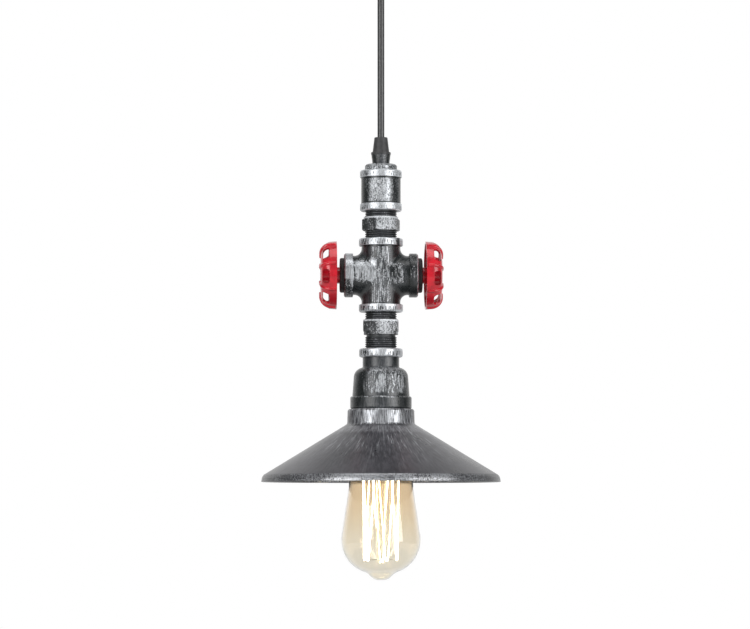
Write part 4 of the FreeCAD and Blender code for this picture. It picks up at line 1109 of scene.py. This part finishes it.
@dataclass(frozen=True)
class GlassEnvelope:
    """The bulb's blown glass, which runs out in a soft cone at its foot.

    The levels of the upper corners count from the cap's foot, and those of the lower from the tip.
    """

    below_cap: tuple[Corner, ...] = (
        Corner(11.3, -1.1, 3.0),
        Corner(25.6, -25.0, 25.0),
        Corner(27.95, -44.0, 80.0),
    )
    above_tip: tuple[Corner, ...] = (
        Corner(36.3, 15.15, 28.0),
        Corner(12.0, 5.9, 6.0),
        Corner(5.4, 0.0, 8.0),
    )
    wall: float = 0.8
    sides: int = 96
    arc_step: float = math.radians(6.0)
    sharp: float = math.radians(40.0)
    weld: float = 0.01
    tint: TintedGlass = TintedGlass("amber_glass")

    def outline(self) -> list[Vector]:
        """Draw the glass's outer line, from its neck to its tip.

        Returns:
            Its points, each a radius and a level in millimetres.
        """
        foot, top = span("bulb_glass")
        cap_foot = span("bulb_cap")[0]
        corners = [replace(self.below_cap[0], level=top)]
        corners += [corner.raised(cap_foot) for corner in self.below_cap]
        corners += [corner.raised(foot) for corner in self.above_tip]
        corners.append(Corner(0.0, foot))
        line = [corners[0].place()]
        for before, corner, after in zip(corners, corners[1:], corners[2:]):
            line += corner.rounded(before, after, self.arc_step)
        return line

    def blow(self) -> bpy.types.Object:
        """Draw a ring down along the line, close it at the tip and give it its wall.

        Returns:
            The finished envelope.
        """
        (radius, level), *line = self.outline()
        bpy.ops.object.select_all(action="DESELECT")
        bpy.ops.mesh.primitive_circle_add(
            vertices=self.sides, radius=radius * MM, location=(0.0, 0.0, level * MM)
        )
        piece = bpy.context.active_object
        piece.name = "bulb_envelope"
        bpy.ops.object.mode_set(mode="EDIT")
        for below, lower in line:
            drop = {"value": (0.0, 0.0, (lower - level) * MM)}
            bpy.ops.mesh.extrude_region_move(TRANSFORM_OT_translate=drop)
            grow = below / radius
            bpy.ops.transform.resize(value=(grow, grow, 1.0), center_override=(0.0, 0.0, lower * MM))
            radius, level = below, lower
        bpy.ops.mesh.extrude_region_move(TRANSFORM_OT_translate={"value": (0.0, 0.0, 0.0)})
        bpy.ops.mesh.merge(type="CENTER")
        bpy.ops.mesh.select_all(action="SELECT")
        bpy.ops.mesh.remove_doubles(threshold=self.weld * MM)
        bpy.ops.mesh.normals_make_consistent(inside=False)
        bpy.ops.object.mode_set(mode="OBJECT")
        bpy.ops.object.transform_apply(location=True, rotation=True, scale=True)
        shell = piece.modifiers.new("wall", "SOLIDIFY")
        shell.thickness = self.wall * MM
        shell.offset = -1.0
        bpy.ops.object.modifier_apply(modifier=shell.name)
        bpy.ops.object.shade_smooth_by_angle(angle=self.sharp)
        return piece

    def make(self) -> None:
        """Blow the glass, dress it and put it on the bulb."""
        piece = self.blow()
        piece.data.materials.append(self.tint.material())
        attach(piece, "bulb")
        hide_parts("bulb_glass")
        LOG.info("%s is %s", piece.name, self.tint.name)


@dataclass
class Bulb:
    """The clear amber bulb with its cage filament."""

    glass: GlassEnvelope = GlassEnvelope()
    stem: TintedGlass = TintedGlass("clear_glass", (0.98, 0.95, 0.86), (0.98, 0.95, 0.86))
    brass: Plain = Plain("cap_brass", (0.78, 0.62, 0.34), 0.3, 1.0)
    vitrite: Plain = Plain("vitrite", (0.02, 0.02, 0.03), 0.2)
    filament: Glowing = Glowing("hot_filament")
    wire: Plain = Plain("support_wire", (0.5, 0.48, 0.45), 0.3, 1.0)

    def make(self) -> None:
        """Blow the glass and dress the rest of the bulb."""
        self.glass.make()
        dress(self.stem, ["bulb_stem"])
        dress(self.brass, ["bulb_cap", "bulb_button"])
        dress(self.vitrite, ["bulb_insulator"])
        dress(self.filament, ["bulb_filament"])
        dress(self.wire, ["bulb_support_wires", "bulb_lead_wires"])


@dataclass(frozen=True)
class SoftLamp:
    """A soft square lamp that faces the pendant, in metres and watts."""

    name: str
    spot: Point
    side: float
    power: float
    faces: Point = (0.0, 0.0, -0.33)

    def hang(self) -> None:
        """Hang the lamp in the room."""
        data = bpy.data.lights.new(self.name, "AREA")
        data.size = self.side
        data.energy = self.power
        light = bpy.data.objects.new(self.name, data)
        bpy.context.scene.collection.objects.link(light)
        light.location = self.spot
        way = Vector(self.faces) - Vector(self.spot)
        light.rotation_euler = way.to_track_quat("-Z", "Y").to_euler()


@dataclass
class Studio:
    """The pale room, its lamps and the camera: metres, but degrees and millimetres in the camera."""

    distance: float = 2.5
    azimuth: float = -2.0
    horizon: float = -0.4809
    aim: Point = (-0.0050, 0.0, -0.3167)
    frame_width: float = 0.63
    sensor: float = 36.0
    sight: float = 60.0
    floor_level: float = -3.3
    floor_radius: float = 21.0
    floor_sides: int = 96
    floor_gloss: float = 0.6
    floor_pale: float = 0.85
    floor_colours: tuple[Colour, Colour] = ((0.86, 0.86, 0.86), (0.9, 0.9, 0.9))
    floor_cloud: tuple[float, float, float] = (3.0, 2.0, 0.5)
    floor_roughness: float = 0.8
    room_fill: float = 0.46
    room_gloss: float = 0.14
    backdrop_reach: Band = (0.25, 0.8)
    lamps: tuple[SoftLamp, ...] = (
        SoftLamp("key", (-1.45, -1.7, 0.2), 1.2, 23.5),
        SoftLamp("fill", (1.6, -1.5, 0.0), 1.4, 27.0),
        SoftLamp("top", (0.0, -0.3, 1.2), 1.0, 7.0),
    )

    def camera(self) -> None:
        """Stand the camera at the photograph's place."""
        turn = math.radians(self.azimuth)
        data = bpy.data.cameras.new("camera")
        camera = bpy.data.objects.new("camera", data)
        bpy.context.scene.collection.objects.link(camera)
        aim = Vector(self.aim)
        spot = Vector((self.distance * math.sin(turn), -self.distance * math.cos(turn), 0.0))
        spot += Vector((self.aim[0], 0.0, self.horizon))
        camera.location = spot
        camera.rotation_euler = (aim - spot).to_track_quat("-Z", "Y").to_euler()
        data.sensor_width = self.sensor
        data.lens = data.sensor_width * (aim - spot).length / self.frame_width
        data.clip_end = self.sight
        bpy.context.scene.camera = camera

    def world(self) -> None:
        """Fill the room with even light, and show white behind the lamp."""
        world = bpy.data.worlds.new("room")
        bpy.context.scene.world = world
        world.use_nodes = True
        room = NodeTree(world.node_tree)
        rays = room.rays()
        glossy = rays[Ray.GLOSSY]
        way = room.node("ShaderNodeTexCoord", {}, {}, "Generated")
        behind = room.split(way)[1].ramp(*self.backdrop_reach)
        mirrored = glossy * (behind * (1 - self.room_gloss) + self.room_gloss)
        filled = (1 - glossy) * self.room_fill
        strength = (rays[Ray.CAMERA] + rays[Ray.CLEAR]).clamped().top(mirrored + filled)
        light = room.node("ShaderNodeBackground", {}, {"Color": (1.0, 1.0, 1.0), "Strength": strength})
        room.add("ShaderNodeOutputWorld", {}, {"Surface": light})

    def floor_material(self) -> bpy.types.Material:
        """Mix a pale matt paint, which the camera, glass and gloss see as nearly white.

        Returns:
            The floor's material.
        """
        g = Graph("pale_floor")
        cloud = g.noise(g.place, *self.floor_cloud)
        g.dress(
            Base_Color=g.blend(cloud, *self.floor_colours),
            Roughness=self.floor_roughness,
        )
        rays = g.rays()
        shown = rays[Ray.CLEAR].top(rays[Ray.GLOSSY] * self.floor_gloss)
        shown = shown.top(rays[Ray.CAMERA] * self.floor_pale)
        white = g.node("ShaderNodeEmission", {}, {"Strength": 1.0})
        mixed = g.node("ShaderNodeMixShader", {}, {0: shown, 1: g.surface, 2: white})
        g.feed(g.output.inputs["Surface"], mixed)
        return g.material

    def floor(self) -> None:
        """Lay a pale floor far under the lamp."""
        bpy.ops.object.select_all(action="DESELECT")
        bpy.ops.mesh.primitive_circle_add(
            vertices=self.floor_sides,
            radius=self.floor_radius,
            fill_type="NGON",
            location=(0.0, 0.0, self.floor_level),
        )
        floor = bpy.context.active_object
        floor.name = "floor"
        floor.data.materials.append(self.floor_material())

    def make(self) -> None:
        """Set the stage."""
        bpy.context.scene.view_settings.view_transform = "Standard"
        self.camera()
        self.world()
        self.floor()
        for lamp in self.lamps:
            lamp.hang()


def main() -> None:
    """Build the lamp and its stage."""
    logging.basicConfig(level=logging.INFO, format="%(name)s: %(message)s")
    bpy.ops.object.select_all(action="DESELECT")
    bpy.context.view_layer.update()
    Studio().make()
    for group in (
        FlexCord(),
        Canopy(),
        CordGrips(),
        PipeColumn(),
        SideFittings(),
        ShadeGroup(),
        Lampholder(),
        Bulb(),
    ):
        group.make()


if __name__ == "__main__":
    main()
